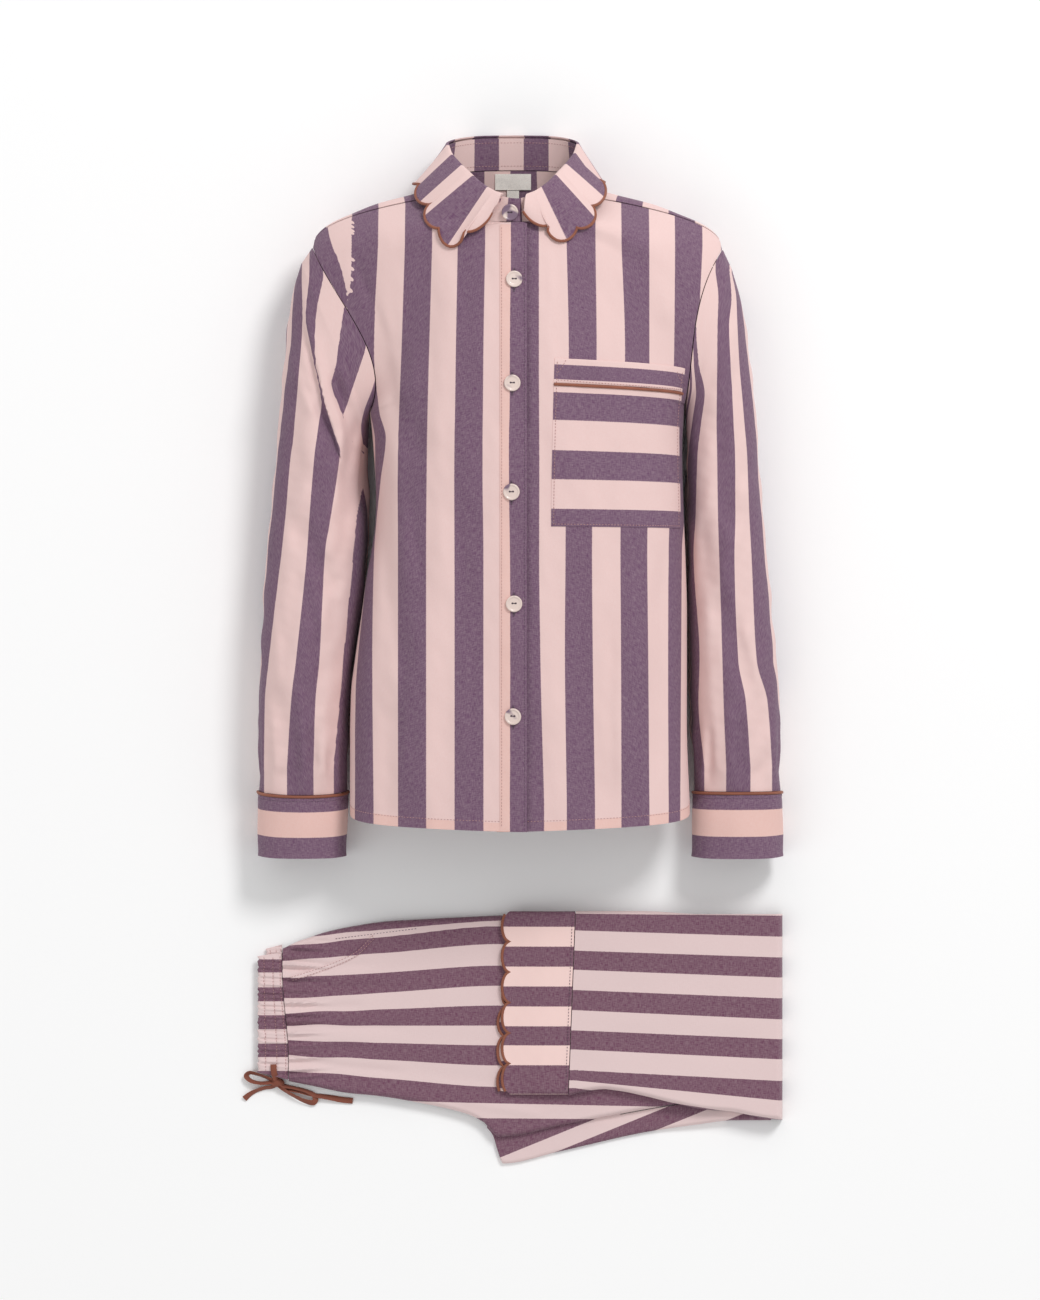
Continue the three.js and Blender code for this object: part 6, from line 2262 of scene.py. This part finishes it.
class PYJAMA_OT_closure(bpy.types.Operator):
    """Make the front placket, the buttons and the buttonholes"""

    bl_idname = "pyjama.closure"
    bl_label = "Placket and buttons"

    def execute(self, context):
        make_placket()
        make_buttons()
        return {"FINISHED"}


class PYJAMA_OT_pocket(bpy.types.Operator):
    """Make the chest pocket, its band and the piping between them"""

    bl_idname = "pyjama.pocket"
    bl_label = "Chest pocket"

    def execute(self, context):
        make_pocket()
        return {"FINISHED"}


class PYJAMA_OT_labels(bpy.types.Operator):
    """Make the neck label and the size tab, both blank"""

    bl_idname = "pyjama.labels"
    bl_label = "Labels"

    def execute(self, context):
        make_labels()
        return {"FINISHED"}


class PYJAMA_OT_legs(bpy.types.Operator):
    """Make the folded legs and the layers inside the pile"""

    bl_idname = "pyjama.legs"
    bl_label = "Trouser legs"

    def execute(self, context):
        make_leg_top()
        make_turned_leg()
        make_leg_under()
        make_layers()
        return {"FINISHED"}


class PYJAMA_OT_hems(bpy.types.Operator):
    """Make the scalloped hem bands and their bindings"""

    bl_idname = "pyjama.hems"
    bl_label = "Trouser hems"

    def execute(self, context):
        make_hem_band()
        make_hem_under()
        return {"FINISHED"}


class PYJAMA_OT_waist(bpy.types.Operator):
    """Make the gathered waistband, front and back"""

    bl_idname = "pyjama.waist"
    bl_label = "Waistband"

    def execute(self, context):
        make_waistband("front")
        make_waistband("back")
        return {"FINISHED"}


class PYJAMA_OT_stage(bpy.types.Operator):
    """Set the pale floor and the soft studio lights"""

    bl_idname = "pyjama.stage"
    bl_label = "Stage"

    def execute(self, context):
        make_floor()
        make_lights()
        return {"FINISHED"}


OPERATORS = (
    PYJAMA_OT_camera,
    PYJAMA_OT_drawstring,
    PYJAMA_OT_fronts,
    PYJAMA_OT_back,
    PYJAMA_OT_sleeves,
    PYJAMA_OT_cuffs,
    PYJAMA_OT_collar,
    PYJAMA_OT_closure,
    PYJAMA_OT_pocket,
    PYJAMA_OT_labels,
    PYJAMA_OT_legs,
    PYJAMA_OT_hems,
    PYJAMA_OT_waist,
    PYJAMA_OT_stage,
)


class PYJAMA_PT_panel(bpy.types.Panel):
    """The pyjama set's sizes, colours and pieces"""

    bl_idname = "PYJAMA_PT_panel"
    bl_label = "Pyjama set"
    bl_space_type = "VIEW_3D"
    bl_region_type = "UI"
    bl_category = "Pyjama set"

    def draw(self, context):
        column = self.layout.column()
        for group in (context.scene.pyjama_sizes, context.scene.pyjama_colors):
            for key in group.bl_rna.properties.keys():
                if key not in ("rna_type", "name"):
                    column.prop(group, key)
        for made in OPERATORS:
            column.operator(made.bl_idname)


CLASSES = (PyjamaSizes, PyjamaColors, *OPERATORS, PYJAMA_PT_panel)


def register():
    for made in CLASSES:
        bpy.utils.register_class(made)
    bpy.types.Scene.pyjama_sizes = PointerProperty(type=PyjamaSizes)
    bpy.types.Scene.pyjama_colors = PointerProperty(type=PyjamaColors)


def unregister():
    del bpy.types.Scene.pyjama_colors
    del bpy.types.Scene.pyjama_sizes
    for made in reversed(CLASSES):
        bpy.utils.unregister_class(made)


def main():
    register()
    for made in OPERATORS:
        getattr(bpy.ops.pyjama, made.bl_idname.split(".")[1])()


if __name__ == "__main__":
    main()
